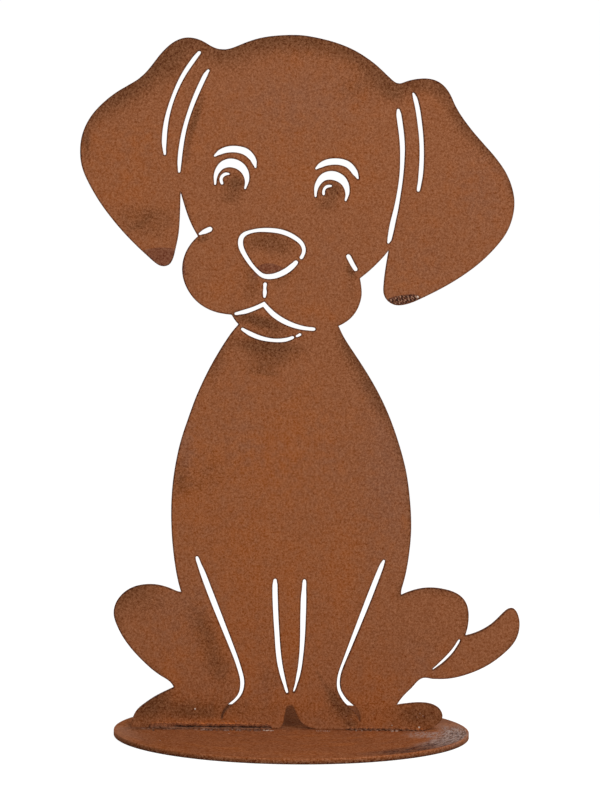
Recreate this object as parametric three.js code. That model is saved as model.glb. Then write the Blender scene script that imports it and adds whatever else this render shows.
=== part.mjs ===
// A garden ornament of rusted steel: a puppy cut by laser out of one flat sheet, which stands upright on
// a round steel disc and is welded to it. Its ears, eyes, nose, mouth and legs are drawn by narrow cuts
// right through the sheet.
// Millimetres, +Z up, -Y towards whoever looks at the puppy's face. The origin is the centre of the
// disc's underside, where the ornament rests.

import * as THREE from 'three';

// Driving sizes, in millimetres
const DOG_HEIGHT = 392; // from the paws to the top of the head
const SHEET_THICKNESS = 2; // of the sheet that the puppy is cut from
const LINE_WIDTH = 2.5; // of a drawn line, where it is neither thick nor thin
const DISC_DIAMETER = 200;
const DISC_THICKNESS = 3;
const WELD_OUT = 4; // how far a weld reaches out over the disc
const WELD_UP = 3.2; // how far it climbs up the sheet
const WELD_RIM = 5; // the least distance from a weld's end to the disc's edge
const WELD_BLUNT = 0.39; // what is left of a weld's thickness at its very end, as a share
const WELD_NOSE = [0, 0.1, 0.4, 1]; // where a weld's nose has its sections, as shares of its length
const CURVE_FLAT = 0.06; // how far a straight facet may stray from the curve that it follows
const CAP_FACETS = 4; // facets of the round end of a drawn line
const WELD_FACETS = 4; // facets over the back of a weld
const DISC_FACETS = 120;

// The drawing, in thousandths of the puppy's height: x to the right of the disc's middle, z up from the
// disc's top. A heading is the way that the line runs there, in degrees from +x towards +z. The outline
// runs round the puppy with the steel on its left.
const smooth = (x, z, heading) => ({ x, z, arrive: heading, leave: heading });
const corner = (x, z, arrive, leave) => ({ x, z, arrive, leave });

const OUTLINE = [
  // the crown of the head and the dip before the left ear
  smooth(-5, 999.5, 180), smooth(-52, 995.5, 191), smooth(-84, 985, 203),
  smooth(-108, 977.5, 183), smooth(-132, 985, 147),
  // the left ear, down its outer edge to its tip and up again to where it leaves the cheek
  smooth(-161, 994, 182), smooth(-188, 982, 221), smooth(-207, 960.5, 234), smooth(-232, 933, 216),
  smooth(-262, 914.5, 215), smooth(-292, 888, 229), smooth(-311.6, 851, 256), smooth(-313, 815, 278),
  smooth(-297, 775, 299), smooth(-258, 721, 311), smooth(-204, 669, 320), smooth(-192, 664.3, 0),
  smooth(-181.5, 669.7, 56), smooth(-175, 690, 77), smooth(-170, 722, 87), corner(-168.8, 771.5, 90, 286),
  // the left cheek, the muzzle under it and the little step to the chin
  smooth(-159.5, 742, 289), corner(-143, 708, 303, 222), smooth(-165.2, 661, 270),
  smooth(-148.5, 619, 311), smooth(-124, 601.8, 337), corner(-93, 595.4, 355, 298),
  corner(-83, 581.7, 317, 226),
  // the left side of the body
  smooth(-99, 561, 237), smooth(-129, 508, 244.5), smooth(-149, 460, 252), smooth(-166, 406, 257),
  smooth(-175.3, 349, 265), smooth(-176.8, 306, 271), smooth(-168, 221, 281), corner(-161.3, 195.3, 288, 178),
  // the left thigh and the paw under it
  smooth(-168.5, 196.9, 158), smooth(-179, 201.2, 161), smooth(-207, 206, 182), smooth(-239, 197, 214),
  smooth(-258, 165, 269), smooth(-253.5, 147, 293), smooth(-202, 83.5, 319.5), smooth(-177, 66.8, 327),
  corner(-170.2, 58.2, 302, 206), smooth(-187, 50, 206), smooth(-211, 35, 217), smooth(-223, 24.5, 231),
  smooth(-229.5, 10, 258), corner(-231, 0, 270, 0),
  // the edge that stands on the disc, with the arch between the front paws
  corner(-17, 0, 0, 62), smooth(-11.5, 10, 83), smooth(-9, 25, 77), smooth(-1.5, 33.5, 0),
  smooth(5, 26.5, 296), smooth(14, 10, 311), corner(38, 0, 355, 0), smooth(184, 0, 0),
  // the right hind paw and the leg above it
  smooth(206, 6, 35), smooth(217.5, 21, 92), smooth(200, 38.5, 166), smooth(180, 40, 182),
  corner(151.7, 36.6, 187, 60), smooth(171, 59.5, 43), corner(187.8, 75, 40, 357),
  // the tail, out to its tip and back
  smooth(220, 74.3, 4), smooth(262, 85, 22), smooth(299, 107, 40), smooth(322, 132.5, 63),
  smooth(327, 155, 91), smooth(323, 171.5, 117), smooth(315.5, 177.6, 178),
  smooth(304, 171.5, 224), smooth(287, 155, 218),
  corner(249, 137.4, 192, 71),
  // the right thigh and the right side of the body
  smooth(253.6, 166, 91), smooth(244, 192, 136), smooth(219, 203.5, 168), smooth(190, 205.3, 186),
  corner(155.8, 194.8, 206, 95), smooth(159.2, 213, 75), smooth(165, 241, 82), smooth(169.3, 292, 90),
  smooth(164, 356, 98), smooth(149, 416, 108), smooth(121, 483, 118), smooth(85, 541, 124.5),
  corner(61.2, 581, 112, 25),
  // the right side of the muzzle and the cheek
  smooth(74, 588.5, 37), smooth(87.5, 604.5, 63), smooth(94, 628, 88), corner(91.3, 650, 99, 39),
  smooth(112, 668, 46), corner(131.8, 690.5, 56, 262),
  // the right ear, down to its tip, round its outer edge and back to the head
  smooth(126.5, 655, 265), smooth(125, 634, 270), smooth(130.5, 619.3, 313), smooth(148, 611.8, 3),
  smooth(184, 624, 26), smooth(234, 652, 33.5), smooth(279, 689, 47), smooth(304.5, 724, 66),
  smooth(312.5, 758, 88), smooth(305, 794, 112), smooth(281, 830.5, 130), smooth(252, 863, 129),
  smooth(227, 898, 119), smooth(219.5, 914, 117), smooth(205, 932, 144), smooth(181, 939, 181),
  smooth(149, 932.3, 203), smooth(138.5, 933.3, 144),
  // the right side of the crown
  smooth(110, 958.5, 142), smooth(73, 981.5, 156), smooth(32, 994.5, 168),
];

// A drawn line has its width at each point too, as a share of the line width. It is cut as one slot with
// round ends.
const inked = (x, z, heading, width) => ({ x, z, arrive: heading, leave: heading, width });
const inkedCorner = (x, z, arrive, leave, width) => ({ x, z, arrive, leave, width });

const EAR_LINES = [
  // left ear, outer and inner
  [inked(-144.2, 972.7, 232, 0.8), inked(-150, 965.5, 234, 1), inked(-160, 951, 236, 1.02),
    inked(-182.3, 904.5, 251, 0.85), inked(-192.6, 856, 266, 1.08), inked(-193.2, 840, 270, 0.98),
    inked(-192, 826, 275, 0.5)],
  [inked(-131, 947, 238, 0.6), inked(-134.5, 941.5, 242, 0.95), inked(-144.5, 920, 246, 1.04),
    inked(-160, 878, 253, 0.9), inked(-169.3, 832, 263, 1), inked(-170.9, 812, 267, 0.86),
    inked(-171, 801, 269, 0.5)],
  // right ear, outer and inner
  [inked(165.2, 917, 290, 0.5), inked(167.4, 911.5, 286, 0.9), inked(172.4, 890.5, 279, 1.02),
    inked(178, 840, 272, 0.95), inked(177, 800, 265, 0.97), inked(173.8, 778, 259, 0.64)],
  [inked(143.7, 893, 275, 0.68), inked(144.4, 888, 276, 1.06), inked(146, 877, 278, 1.16),
    inked(150.3, 838, 271, 1.08), inked(149.6, 805, 267, 0.86), inked(145.4, 770, 261.5, 0.86),
    inked(137.8, 731.5, 256, 1.12), inked(135.2, 718, 256, 1.1), inked(132.9, 706, 254, 0.86),
    inked(131.6, 702.4, 252, 0.5)],
];

const EYE_LINES = [
  // left eye: brow, white and glint
  [inked(-61.2, 808.7, 97, 0.42), inked(-62.9, 815.2, 104, 1.06), inked(-72.4, 828.4, 140, 1.55),
    inked(-88, 834, 172, 1.53), inked(-103, 833.2, 190, 1.4), inked(-113.5, 829, 208, 1.08),
    inked(-119.7, 824.5, 219, 0.5)],
  [inked(-75.8, 778, 77, 0.4), inked(-73.3, 788, 87, 0.87), inked(-75.1, 799.2, 111, 1.4),
    inked(-81.5, 808.2, 137, 1.83), inked(-94.6, 814.1, 171, 2.02), inked(-106.1, 812.3, 204, 1.77),
    inked(-114.6, 804.6, 236, 1.27), inked(-118.6, 794.4, 261, 0.82), inked(-119, 783.5, 270, 0.4)],
  [inked(-99.8, 798.3, 168, 0.45), inked(-104, 798.2, 196, 0.72), inked(-110.6, 791, 262, 0.7),
    inked(-109.1, 784.8, 296, 0.6)],
  // right eye: brow, white and glint
  [inked(86.3, 794.5, 113, 0.45), inked(82.9, 801.3, 121, 1.2), inked(73.4, 812.8, 143, 1.45),
    inked(58, 817.9, 174, 1.46), inked(43, 816.8, 191, 1.4), inked(32, 812, 210, 1.08),
    inked(26.6, 807.8, 224, 0.5)],
  [inked(69.3, 762.4, 79, 0.4), inked(71.6, 772.2, 91, 0.85), inked(69.6, 783.5, 113, 1.38),
    inked(63.4, 792.2, 140, 1.84), inked(50.7, 797.8, 172, 2.03), inked(38.6, 796, 205, 1.73),
    inked(30.6, 788.4, 236, 1.27), inked(26.6, 778.8, 258, 0.84), inked(25.9, 767.5, 272, 0.38)],
  [inked(47.6, 782.8, 184, 0.5), inked(43.2, 782.2, 196, 0.66), inked(38.3, 778, 240, 0.58),
    inked(37.4, 771, 271, 0.55)],
];

const MUZZLE_LINES = [
  // the nose, a ring that stays closed by one bridge at its lower right
  [inked(6.4, 679, 60, 0.74), inked(9.9, 691, 98, 0.8), inked(3.6, 702.5, 139, 0.94),
    inked(-16.5, 714, 160, 1.04), inked(-41, 718.1, 178, 0.96), inked(-66, 715.8, 196, 0.76),
    inked(-78, 710, 225, 1), inked(-81.5, 699, 272, 1.1), inked(-75.8, 682.9, 301, 0.98),
    inked(-60.5, 662, 315, 0.8), inked(-50, 653, 331, 0.95), inked(-40, 651, 0, 1.12),
    inked(-20, 656.8, 27, 1.25), inked(-7, 666, 43, 1.2), inked(-1.3, 671.8, 50, 0.95)],
  // the short line from the nose to the mouth
  [inked(-45.4, 640, 270, 0.8), inked(-45.8, 634, 269, 0.63), inked(-45.6, 628, 268, 0.86),
    inked(-46, 622.2, 265, 0.55)],
  // the mouth, a wide V
  [inked(-87.1, 597, 14, 0.6), inked(-74.5, 600, 15, 0.95), inked(-61, 604.7, 22, 0.9),
    inkedCorner(-47, 611.3, 27, 311, 0.92), inked(-33, 597, 320, 1.14), inked(-16, 586.2, 333, 1.12),
    inked(1.4, 579.6, 344, 0.97), inked(25.6, 576.1, 358, 0.7)],
  // the lower lip, with a short stroke that goes on from it
  [inked(-77.3, 575, 326, 0.6), inked(-67, 569, 333, 0.95), inked(-54.8, 563.8, 341, 0.95),
    inked(-32, 559.3, 356, 0.75), inked(-15, 560.3, 11, 0.82), inked(-4.8, 563.7, 22, 0.62)],
  [inked(1.2, 565.7, 28, 0.45), inked(5.7, 568.1, 32, 0.58)],
  // the left and right cheek marks
  [inked(-126, 718.3, 204, 1.12), inked(-133.5, 714.9, 204, 1.08), inked(-140.2, 711.5, 208, 0.55)],
  [inked(74.2, 681.5, 300, 0.95), inked(79.4, 671.8, 297, 0.98), inked(84.7, 663.2, 302, 0.88)],
];

const BODY_LINES = [
  // the outer edges of the front legs, left and right
  [inked(-138.8, 244.8, 285, 0.65), inked(-131, 224.5, 291, 1.15), inked(-113, 179, 292, 1.27),
    inked(-87, 115.5, 292, 1), inked(-75.5, 84, 286, 0.88), inked(-71.6, 65, 269, 0.86),
    inked(-76.2, 46.8, 235, 0.64), inked(-80.6, 41.2, 227, 0.6), inked(-89, 33.8, 223, 0.56),
    inked(-97.5, 24, 235, 0.56), inked(-100.4, 14.5, 265, 0.4)],
  [inked(130.2, 243, 250, 0.56), inked(127.5, 236.8, 250, 0.92), inked(121.5, 221, 249, 1.08),
    inked(107, 182.5, 249, 1.15), inked(80.5, 113, 249, 0.76), inked(71, 88, 250, 0.58),
    inked(66.9, 66, 271, 0.62), inked(71.3, 50.3, 303, 0.74), inked(79, 39.6, 318, 0.86),
    inked(91, 29, 314, 0.82), inked(96.8, 19.5, 293, 0.6), inked(97.8, 14, 275, 0.38)],
  // the inner edges of the front legs, left and right
  [inked(-26, 213.5, 267, 0.72), inked(-26, 207.5, 269, 1.05), inked(-25.6, 188, 272, 1.14),
    inked(-22.1, 133, 274.5, 1.06), inked(-18.2, 96, 280, 1.07), inked(-12.7, 72, 286, 0.86),
    inked(-7, 52.8, 286, 0.5)],
  [inked(16.3, 213.3, 270, 0.68), inked(15.4, 190, 269, 1.15), inked(14.9, 158, 268.5, 1.18),
    inked(13.5, 113, 265, 0.9), inked(8.5, 75, 256.5, 0.72), inked(2.8, 54, 250, 0.25)],
  // the crease where the tail leaves the thigh
  [inked(240.3, 130, 240, 0.42), inked(229.5, 113.3, 230.5, 0.62), inked(213.6, 97.1, 222, 0.52),
    inked(203, 88.4, 217, 0.2)],
];

// Where the welds start and end, in the drawing's thousandths
const WELDS = [
  { name: 'weld_front_left', from: -205, to: -28, side: 'front' },
  { name: 'weld_front_right', from: 78, to: 194, side: 'front' },
  { name: 'weld_rear_left', from: -190, to: -112, side: 'rear' },
  { name: 'weld_rear_right', from: 70, to: 148, side: 'rear' },
];

const fromDrawing = (length) => (length * DOG_HEIGHT) / 1000;
const pointOf = (anchor) => new THREE.Vector2(fromDrawing(anchor.x), DISC_THICKNESS + fromDrawing(anchor.z));
const ray = (heading, length) => new THREE.Vector2(length * Math.cos(heading), length * Math.sin(heading));
const turnBetween = (from, to) => Math.atan2(Math.sin(to - from), Math.cos(to - from));

// The bend from one anchor to the next, a cubic curve. Its handles have the length that makes it a
// circle's arc where both headings lean equally from the straight way.
function bend(from, to) {
  const start = pointOf(from);
  const end = pointOf(to);
  const leave = THREE.MathUtils.degToRad(from.leave);
  const arrive = THREE.MathUtils.degToRad(to.arrive);
  const straight = end.clone().sub(start);
  const turnOut = Math.abs(turnBetween(leave, straight.angle()));
  const turn = turnOut + Math.abs(turnBetween(straight.angle(), arrive));
  const handle = straight.length() / (3 * Math.cos(turn / 4) ** 2);
  const startHandle = start.clone().add(ray(leave, handle));
  const endHandle = end.clone().sub(ray(arrive, handle));
  const facets = Math.max(1, Math.ceil(Math.sqrt((straight.length() * turn) / (8 * CURVE_FLAT))));
  return { curve: new THREE.CubicBezierCurve(start, startHandle, endHandle, end), facets };
}

// The closed outline's points, each corner and anchor once
function outlinePoints(anchors) {
  return anchors.flatMap((anchor, index) => {
    const { curve, facets } = bend(anchor, anchors[(index + 1) % anchors.length]);
    return curve.getPoints(facets).slice(0, -1);
  });
}

// The places along a drawn line: its middle, the heading before and after, and its width. The widths at
// the anchors are joined by a smooth spline.
function linePlaces(anchors) {
  const last = anchors.length - 1;
  const shares = anchors.map((anchor, index) => new THREE.Vector2(index, anchor.width));
  const widths = new THREE.SplineCurve(shares);
  const places = [];
  for (let index = 0; index < last; index += 1) {
    const { curve, facets } = bend(anchors[index], anchors[index + 1]);
    const steps = Math.max(2, facets);
    for (let step = index === 0 ? 0 : 1; step <= steps; step += 1) {
      const share = step / steps;
      const width = LINE_WIDTH * widths.getPoint((index + share) / last).y;
      const heading = curve.getTangent(share).angle();
      places.push({ middle: curve.getPoint(share), before: heading, after: heading, width });
    }
    places.at(-1).after = THREE.MathUtils.degToRad(anchors[index + 1].leave);
  }
  return places;
}

// The slot of a drawn line: along its left side, round its end, back along its right side and round its
// start. At the mouth's corner the two sides meet in a mitre.
function slotPoints(anchors) {
  const places = linePlaces(anchors);
  const side = ({ middle, before, after, width }, sign) => {
    const half = turnBetween(before, after) / 2;
    const reach = width / 2 / Math.cos(half);
    return middle.clone().add(ray(before + half + (sign * Math.PI) / 2, reach));
  };
  const cap = (place, heading) => {
    const points = [];
    for (let facet = 1; facet < CAP_FACETS; facet += 1) {
      const angle = heading + Math.PI / 2 - (facet * Math.PI) / CAP_FACETS;
      points.push(place.middle.clone().add(ray(angle, place.width / 2)));
    }
    return points;
  };
  const end = places.at(-1);
  const start = places[0];
  return [
    ...places.map((place) => side(place, 1)),
    ...cap(end, end.before),
    ...places.map((place) => side(place, -1)).reverse(),
    ...cap(start, start.after + Math.PI),
  ];
}

// The puppy: the outline with every drawn line cut out, as thick as the sheet, standing on its paws with
// its middle plane at y = 0
function makeDog(material) {
  const drawing = new THREE.Shape(outlinePoints(OUTLINE));
  const lines = [...EAR_LINES, ...EYE_LINES, ...MUZZLE_LINES, ...BODY_LINES];
  drawing.holes = lines.map((anchors) => new THREE.Path(slotPoints(anchors)));
  const sheet = new THREE.ExtrudeGeometry(drawing, { depth: SHEET_THICKNESS, bevelEnabled: false });
  const dog = new THREE.Mesh(sheet, material);
  dog.name = 'dog_silhouette';
  dog.rotation.x = Math.PI / 2;
  dog.position.y = SHEET_THICKNESS / 2;
  return dog;
}

function makeDisc(material) {
  const round = new THREE.CylinderGeometry(DISC_DIAMETER / 2, DISC_DIAMETER / 2, DISC_THICKNESS, DISC_FACETS);
  const disc = new THREE.Mesh(round, material);
  disc.name = 'base_disc';
  disc.rotation.x = Math.PI / 2;
  disc.position.z = DISC_THICKNESS / 2;
  return disc;
}

// A weld bead along +X from x = 0. Its two flat sides lie on the sheet (y = 0) and on the disc (z = 0), its
// back is a quarter of an ellipse, and it runs out at both ends in a rounded nose, as long as the weld
// reaches out.
function weldGeometry(length) {
  const places = WELD_NOSE.map((share) => {
    const size = Math.sqrt(1 - (1 - WELD_BLUNT ** 2) * (1 - share) ** 2);
    return { x: WELD_OUT * share, size };
  });
  const mirrored = places.map(({ x, size }) => ({ x: length - x, size })).reverse();
  const sections = [...places, ...mirrored];
  const corners = WELD_FACETS + 2;
  const positions = [];
  for (const { x, size } of sections) {
    positions.push(x, 0, 0);
    for (let facet = 0; facet <= WELD_FACETS; facet += 1) {
      const angle = (facet / WELD_FACETS) * (Math.PI / 2);
      positions.push(x, -size * WELD_OUT * Math.cos(angle), size * WELD_UP * Math.sin(angle));
    }
  }
  const triangles = [];
  for (let section = 0; section < sections.length - 1; section += 1) {
    for (let index = 0; index < corners; index += 1) {
      const near = section * corners + index;
      const next = section * corners + ((index + 1) % corners);
      triangles.push(near, near + corners, next, next, near + corners, next + corners);
    }
  }
  const far = (sections.length - 1) * corners;
  for (let index = 1; index < corners - 1; index += 1) {
    triangles.push(0, index, index + 1);
    triangles.push(far, far + index + 1, far + index);
  }
  const bead = new THREE.BufferGeometry();
  bead.setAttribute('position', new THREE.Float32BufferAttribute(positions, 3));
  bead.setIndex(triangles);
  bead.computeVertexNormals();
  return bead;
}

// A weld lies in the corner between the sheet and the disc, and ends where its run or the disc ends. One
// at the rear is a front one turned round.
function makeWeld({ name, from, to, side }, material) {
  const rim = DISC_DIAMETER / 2 - WELD_RIM;
  const start = Math.max(fromDrawing(from), -rim);
  const end = Math.min(fromDrawing(to), rim);
  const weld = new THREE.Mesh(weldGeometry(end - start), material);
  weld.name = name;
  weld.rotation.z = side === 'rear' ? Math.PI : 0;
  weld.position.x = side === 'rear' ? end : start;
  weld.position.y = (side === 'rear' ? SHEET_THICKNESS : -SHEET_THICKNESS) / 2;
  weld.position.z = DISC_THICKNESS;
  return weld;
}

const rustedSheet = new THREE.MeshStandardMaterial({ color: 0x93583a, roughness: 0.85, metalness: 0.1 });
const rustedDisc = new THREE.MeshStandardMaterial({ color: 0x824d31, roughness: 0.8, metalness: 0.15 });
const rustedWeld = new THREE.MeshStandardMaterial({ color: 0x6b4433, roughness: 0.7, metalness: 0.3 });

const sculpture = new THREE.Group();
sculpture.add(makeDog(rustedSheet));
sculpture.add(makeDisc(rustedDisc));
for (const weld of WELDS) {
  sculpture.add(makeWeld(weld, rustedWeld));
}

export default sculpture;
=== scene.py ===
# %% [markdown]
# # A puppy cut out of rusted steel sheet
# The ornament is one flat sheet of steel, cut by laser into a seated puppy, standing on a thin round disc
# and welded to it. Everything on it is rust: what makes it look real is the fine mottled grain, the darker
# smudges that heat and damp have left, the burnt edges of the cuts, and the rough welds.
#
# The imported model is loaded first. It fixes where every face is, and each new piece is worked out from it.

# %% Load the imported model
import math

import bpy
import numpy as np
from mathutils import Matrix, Vector
from mathutils.geometry import delaunay_2d_cdt


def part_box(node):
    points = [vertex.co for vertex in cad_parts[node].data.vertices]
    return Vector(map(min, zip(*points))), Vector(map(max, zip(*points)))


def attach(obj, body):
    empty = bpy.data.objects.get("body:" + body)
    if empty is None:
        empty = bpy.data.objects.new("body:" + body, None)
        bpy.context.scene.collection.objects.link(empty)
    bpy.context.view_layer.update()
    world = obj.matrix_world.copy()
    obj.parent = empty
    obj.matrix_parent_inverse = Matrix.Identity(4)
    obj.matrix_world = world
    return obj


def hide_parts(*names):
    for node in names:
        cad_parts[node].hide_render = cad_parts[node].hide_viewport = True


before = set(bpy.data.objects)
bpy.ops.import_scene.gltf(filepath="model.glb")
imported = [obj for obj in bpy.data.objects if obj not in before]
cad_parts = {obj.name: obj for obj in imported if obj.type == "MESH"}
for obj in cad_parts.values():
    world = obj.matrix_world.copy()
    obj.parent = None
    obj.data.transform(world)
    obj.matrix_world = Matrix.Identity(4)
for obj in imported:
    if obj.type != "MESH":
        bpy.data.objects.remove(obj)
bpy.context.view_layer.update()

MM = 0.001
print("nodes:", sorted(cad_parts))

# %% [markdown]
# ## The camera
# The picture was taken from straight in front, with the camera level and a little under half way up the
# puppy. Its distance follows from how open the disc's ellipse looks, and its lens from the disc's width.
# It was tipped by two thirds of a degree, so the camera here is turned round its own axis by as much.

# %% The camera
PICTURE_WIDTH, PICTURE_HEIGHT = 600, 800
FOCAL_LENGTH = 2100  # in pixels of the picture
EYE = np.array([2.7, -1186.5, 188.7]) * MM
ROLL = math.radians(0.67)

camera_data = bpy.data.cameras.new("camera")
camera_data.sensor_width = 36
camera_data.lens = camera_data.sensor_width * FOCAL_LENGTH / PICTURE_HEIGHT
camera = bpy.data.objects.new("camera", camera_data)
bpy.context.scene.collection.objects.link(camera)
level_view = Matrix.Rotation(math.pi / 2, 4, "X")
camera.matrix_world = Matrix.Translation(EYE) @ level_view @ Matrix.Rotation(ROLL, 4, "Z")
bpy.context.scene.camera = camera
print("lens in mm:", round(camera_data.lens, 2))

# %% [markdown]
# A mark on the sheet or the disc is easiest to place by where it shows in the picture. The sheet and the
# disc are planes, so one ray from the eye through the picture's point meets each in one place.

# %% From a place in the picture to a place on the steel
SHEET_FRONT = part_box("dog_silhouette")[0].y
SHEET_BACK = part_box("dog_silhouette")[1].y
DISC_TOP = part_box("base_disc")[1].z


def sight(u, v):
    """The slopes of the ray through picture point (u, v): sideways and upwards per metre of depth. The
    picture is first turned back round its middle by the roll."""
    across, down = u - PICTURE_WIDTH / 2, v - PICTURE_HEIGHT / 2
    level_across = across * math.cos(ROLL) + down * math.sin(ROLL)
    level_down = down * math.cos(ROLL) - across * math.sin(ROLL)
    return level_across / FOCAL_LENGTH, -level_down / FOCAL_LENGTH


def on_sheet(u, v):
    """(x, z) where that ray meets the sheet's front: the eye's place plus slope times depth."""
    side, up = sight(u, v)
    depth = SHEET_FRONT - EYE[1]
    return EYE[0] + side * depth, EYE[2] + up * depth


def on_disc(u, v):
    """(x, y) where that ray meets the disc's top: the depth is the drop divided by the slope."""
    side, up = sight(u, v)
    depth = (DISC_TOP - EYE[2]) / up
    return EYE[0] + side * depth, EYE[1] + depth


print("left paw stands at x, z:", on_sheet(160, 729))

# %% [markdown]
# ## The studio
# A white sheet of paper that runs from the floor up a wall in one bend has no horizon line, so the cuts
# show plain white. To the camera the paper and the surroundings glow, so that no shadow greys them; on the
# steel they throw only a little light, so that the disc behind the sheet stays darker than in front. Two big
# soft lamps, in front and high up, light the sheet and the disc about equally. A weak one behind, at the
# right, brightens the disc's far side and the cut walls there.

# %% A helper that turns arrays into an object
def make_piece(name, points, faces, marks=None, smooth=True):
    """A mesh object at the origin. points is (n, 3) in metres, faces a list of whole index arrays with
    three or four corners a row, marks a dictionary of one number per point."""
    mesh = bpy.data.meshes.new(name)
    corners = np.concatenate([rows.ravel() for rows in faces]).astype(np.int32)
    sizes = np.concatenate([np.full(len(rows), rows.shape[1]) for rows in faces])
    mesh.vertices.add(len(points))
    mesh.vertices.foreach_set("co", np.ascontiguousarray(points, dtype=np.float32).ravel())
    mesh.loops.add(len(corners))
    mesh.loops.foreach_set("vertex_index", corners)
    mesh.polygons.add(len(sizes))
    mesh.polygons.foreach_set("loop_start", (np.cumsum(sizes) - sizes).astype(np.int32))
    mesh.polygons.foreach_set("use_smooth", np.full(len(sizes), smooth))
    mesh.update(calc_edges=True)
    for key, values in (marks or {}).items():
        mark = mesh.attributes.new(key, "FLOAT", "POINT")
        mark.data.foreach_set("value", np.ascontiguousarray(values, dtype=np.float32))
    piece = bpy.data.objects.new(name, mesh)
    bpy.context.scene.collection.objects.link(piece)
    print(name, "has", int((sizes - 2).sum()), "triangles")
    return piece


def grid_faces(rows, columns, closed_rows=False, closed_columns=False):
    """Quads over a grid of points that is stored row by row. A closed direction joins its last line of
    points to its first."""
    row = np.arange(rows if closed_rows else rows - 1)[:, None]
    column = np.arange(columns if closed_columns else columns - 1)[None, :]
    next_row, next_column = (row + 1) % rows, (column + 1) % columns
    corners = [row * columns + column, row * columns + next_column]
    corners += [next_row * columns + next_column, next_row * columns + column]
    return np.stack(corners, axis=-1).reshape(-1, 4)


# %% A glow that the camera sees stronger than the steel does
def two_glows(tree, on_steel, to_camera, socket):
    """Sets the socket to one strength for the camera's own rays and to another for all other rays."""
    seen_by = tree.nodes.new("ShaderNodeLightPath")
    glow = tree.nodes.new("ShaderNodeMapRange")
    glow.inputs["To Min"].default_value = on_steel
    glow.inputs["To Max"].default_value = to_camera
    tree.links.new(seen_by.outputs["Is Camera Ray"], glow.inputs["Value"])
    tree.links.new(glow.outputs["Result"], socket)


# %% Paper, lamps and the colour of the surroundings
PAPER_HALF_WIDTH = 4.0
PAPER_FRONT, PAPER_BEND = -4.0, 2.6
BEND_RADIUS, WALL_HEIGHT = 0.8, 4.0

bend = np.linspace(0, math.pi / 2, 25)
paper_y = np.concatenate([[PAPER_FRONT], PAPER_BEND + BEND_RADIUS * np.sin(bend)])
paper_z = np.concatenate([[0], BEND_RADIUS * (1 - np.cos(bend))])
paper_y, paper_z = np.append(paper_y, paper_y[-1]), np.append(paper_z, WALL_HEIGHT)
paper_sides = np.array([PAPER_HALF_WIDTH, -PAPER_HALF_WIDTH])
paper_points = np.stack(
    [
        np.tile(paper_sides, len(paper_y)),
        np.repeat(paper_y, 2),
        np.repeat(paper_z, 2),
    ],
    axis=1,
)
paper = make_piece("paper", paper_points, [grid_faces(len(paper_y), 2)])

paper_white = bpy.data.materials.new("paper_white")
paper_white.use_nodes = True
paper_shader = paper_white.node_tree.nodes["Principled BSDF"]
paper_shader.inputs["Base Color"].default_value = (0.2, 0.2, 0.2, 1)
paper_shader.inputs["Roughness"].default_value = 1
paper_shader.inputs["Specular IOR Level"].default_value = 0
paper_shader.inputs["Emission Color"].default_value = (1, 1, 1, 1)
two_glows(paper_white.node_tree, 0.25, 0.92, paper_shader.inputs["Emission Strength"])
paper.data.materials.append(paper_white)

surroundings = bpy.data.worlds.new("surroundings")
surroundings.use_nodes = True
background = surroundings.node_tree.nodes["Background"]
background.inputs["Color"].default_value = (1, 1, 1, 1)
two_glows(surroundings.node_tree, 0.36, 1.0, background.inputs["Strength"])
bpy.context.scene.world = surroundings
bpy.context.scene.view_settings.view_transform = "Standard"


def add_lamp(name, place, aim, size, power):
    """A square lamp at place that shines towards aim."""
    lamp_data = bpy.data.lights.new(name, "AREA")
    lamp_data.size = size
    lamp_data.energy = power
    lamp = bpy.data.objects.new(name, lamp_data)
    bpy.context.scene.collection.objects.link(lamp)
    turn = (Vector(aim) - Vector(place)).to_track_quat("-Z", "Y")
    lamp.matrix_world = Matrix.Translation(place) @ turn.to_matrix().to_4x4()
    return lamp


add_lamp("key_lamp", (1.0, -1.65, 1.6), (0, 0, 0.15), 1.2, 39)
add_lamp("fill_lamp", (-0.7, -1.9, 1.3), (0, 0, 0.15), 1.2, 9)
add_lamp("back_lamp", (1.3, 1.1, 1.2), (0, 0, 0), 0.9, 8)

# %% [markdown]
# ## The sheet's border
# The puppy's outline and its 22 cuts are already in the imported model, as the border of its front face. A
# side of a triangle that no neighbour shares is part of that border. Taking it from there, instead of
# drawing it again, keeps the shown puppy exactly where the measured one is.

# %% Find the border of the front face
def front_border(node_name):
    """Corner places (x, z) and the border's directed sides as two index arrays. Seen from the front each
    side has the steel on its left."""
    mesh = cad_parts[node_name].data
    mesh.calc_loop_triangles()
    places = np.empty(len(mesh.vertices) * 3)
    mesh.vertices.foreach_get("co", places)
    triangles = np.empty(len(mesh.loop_triangles) * 3, dtype=np.int32)
    mesh.loop_triangles.foreach_get("vertices", triangles)
    rounded = np.round(places.reshape(-1, 3), 6)
    corners, same = np.unique(rounded, axis=0, return_inverse=True)
    triangles = same.ravel()[triangles].reshape(-1, 3)
    on_front = (corners[triangles][:, :, 1] < SHEET_FRONT + 0.01 * MM).all(axis=1)
    start = triangles[on_front].ravel()
    end = np.roll(triangles[on_front], -1, axis=1).ravel()
    lonely = ~np.isin(start * len(corners) + end, end * len(corners) + start)
    used, packed = np.unique(np.concatenate([start[lonely], end[lonely]]), return_inverse=True)
    half = lonely.sum()
    return corners[used][:, [0, 2]], packed.ravel()[:half], packed.ravel()[half:]


corner_places, side_start, side_end = front_border("dog_silhouette")
print("the border has", len(side_start), "straight sides")

# %% [markdown]
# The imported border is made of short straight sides. Each is bent into a cubic curve here, tangent to its
# neighbours, unless the two meet in a real corner. So a close look shows round curves, not facets.

# %% Bend the sides and divide them evenly
CORNER_TURN = math.radians(46)  # a sharper turn than this stays a corner
BORDER_STEP = 0.9 * MM
HANDLE_SHARE = 0.345  # the length of a curve's handles, as a share of its chord


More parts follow.
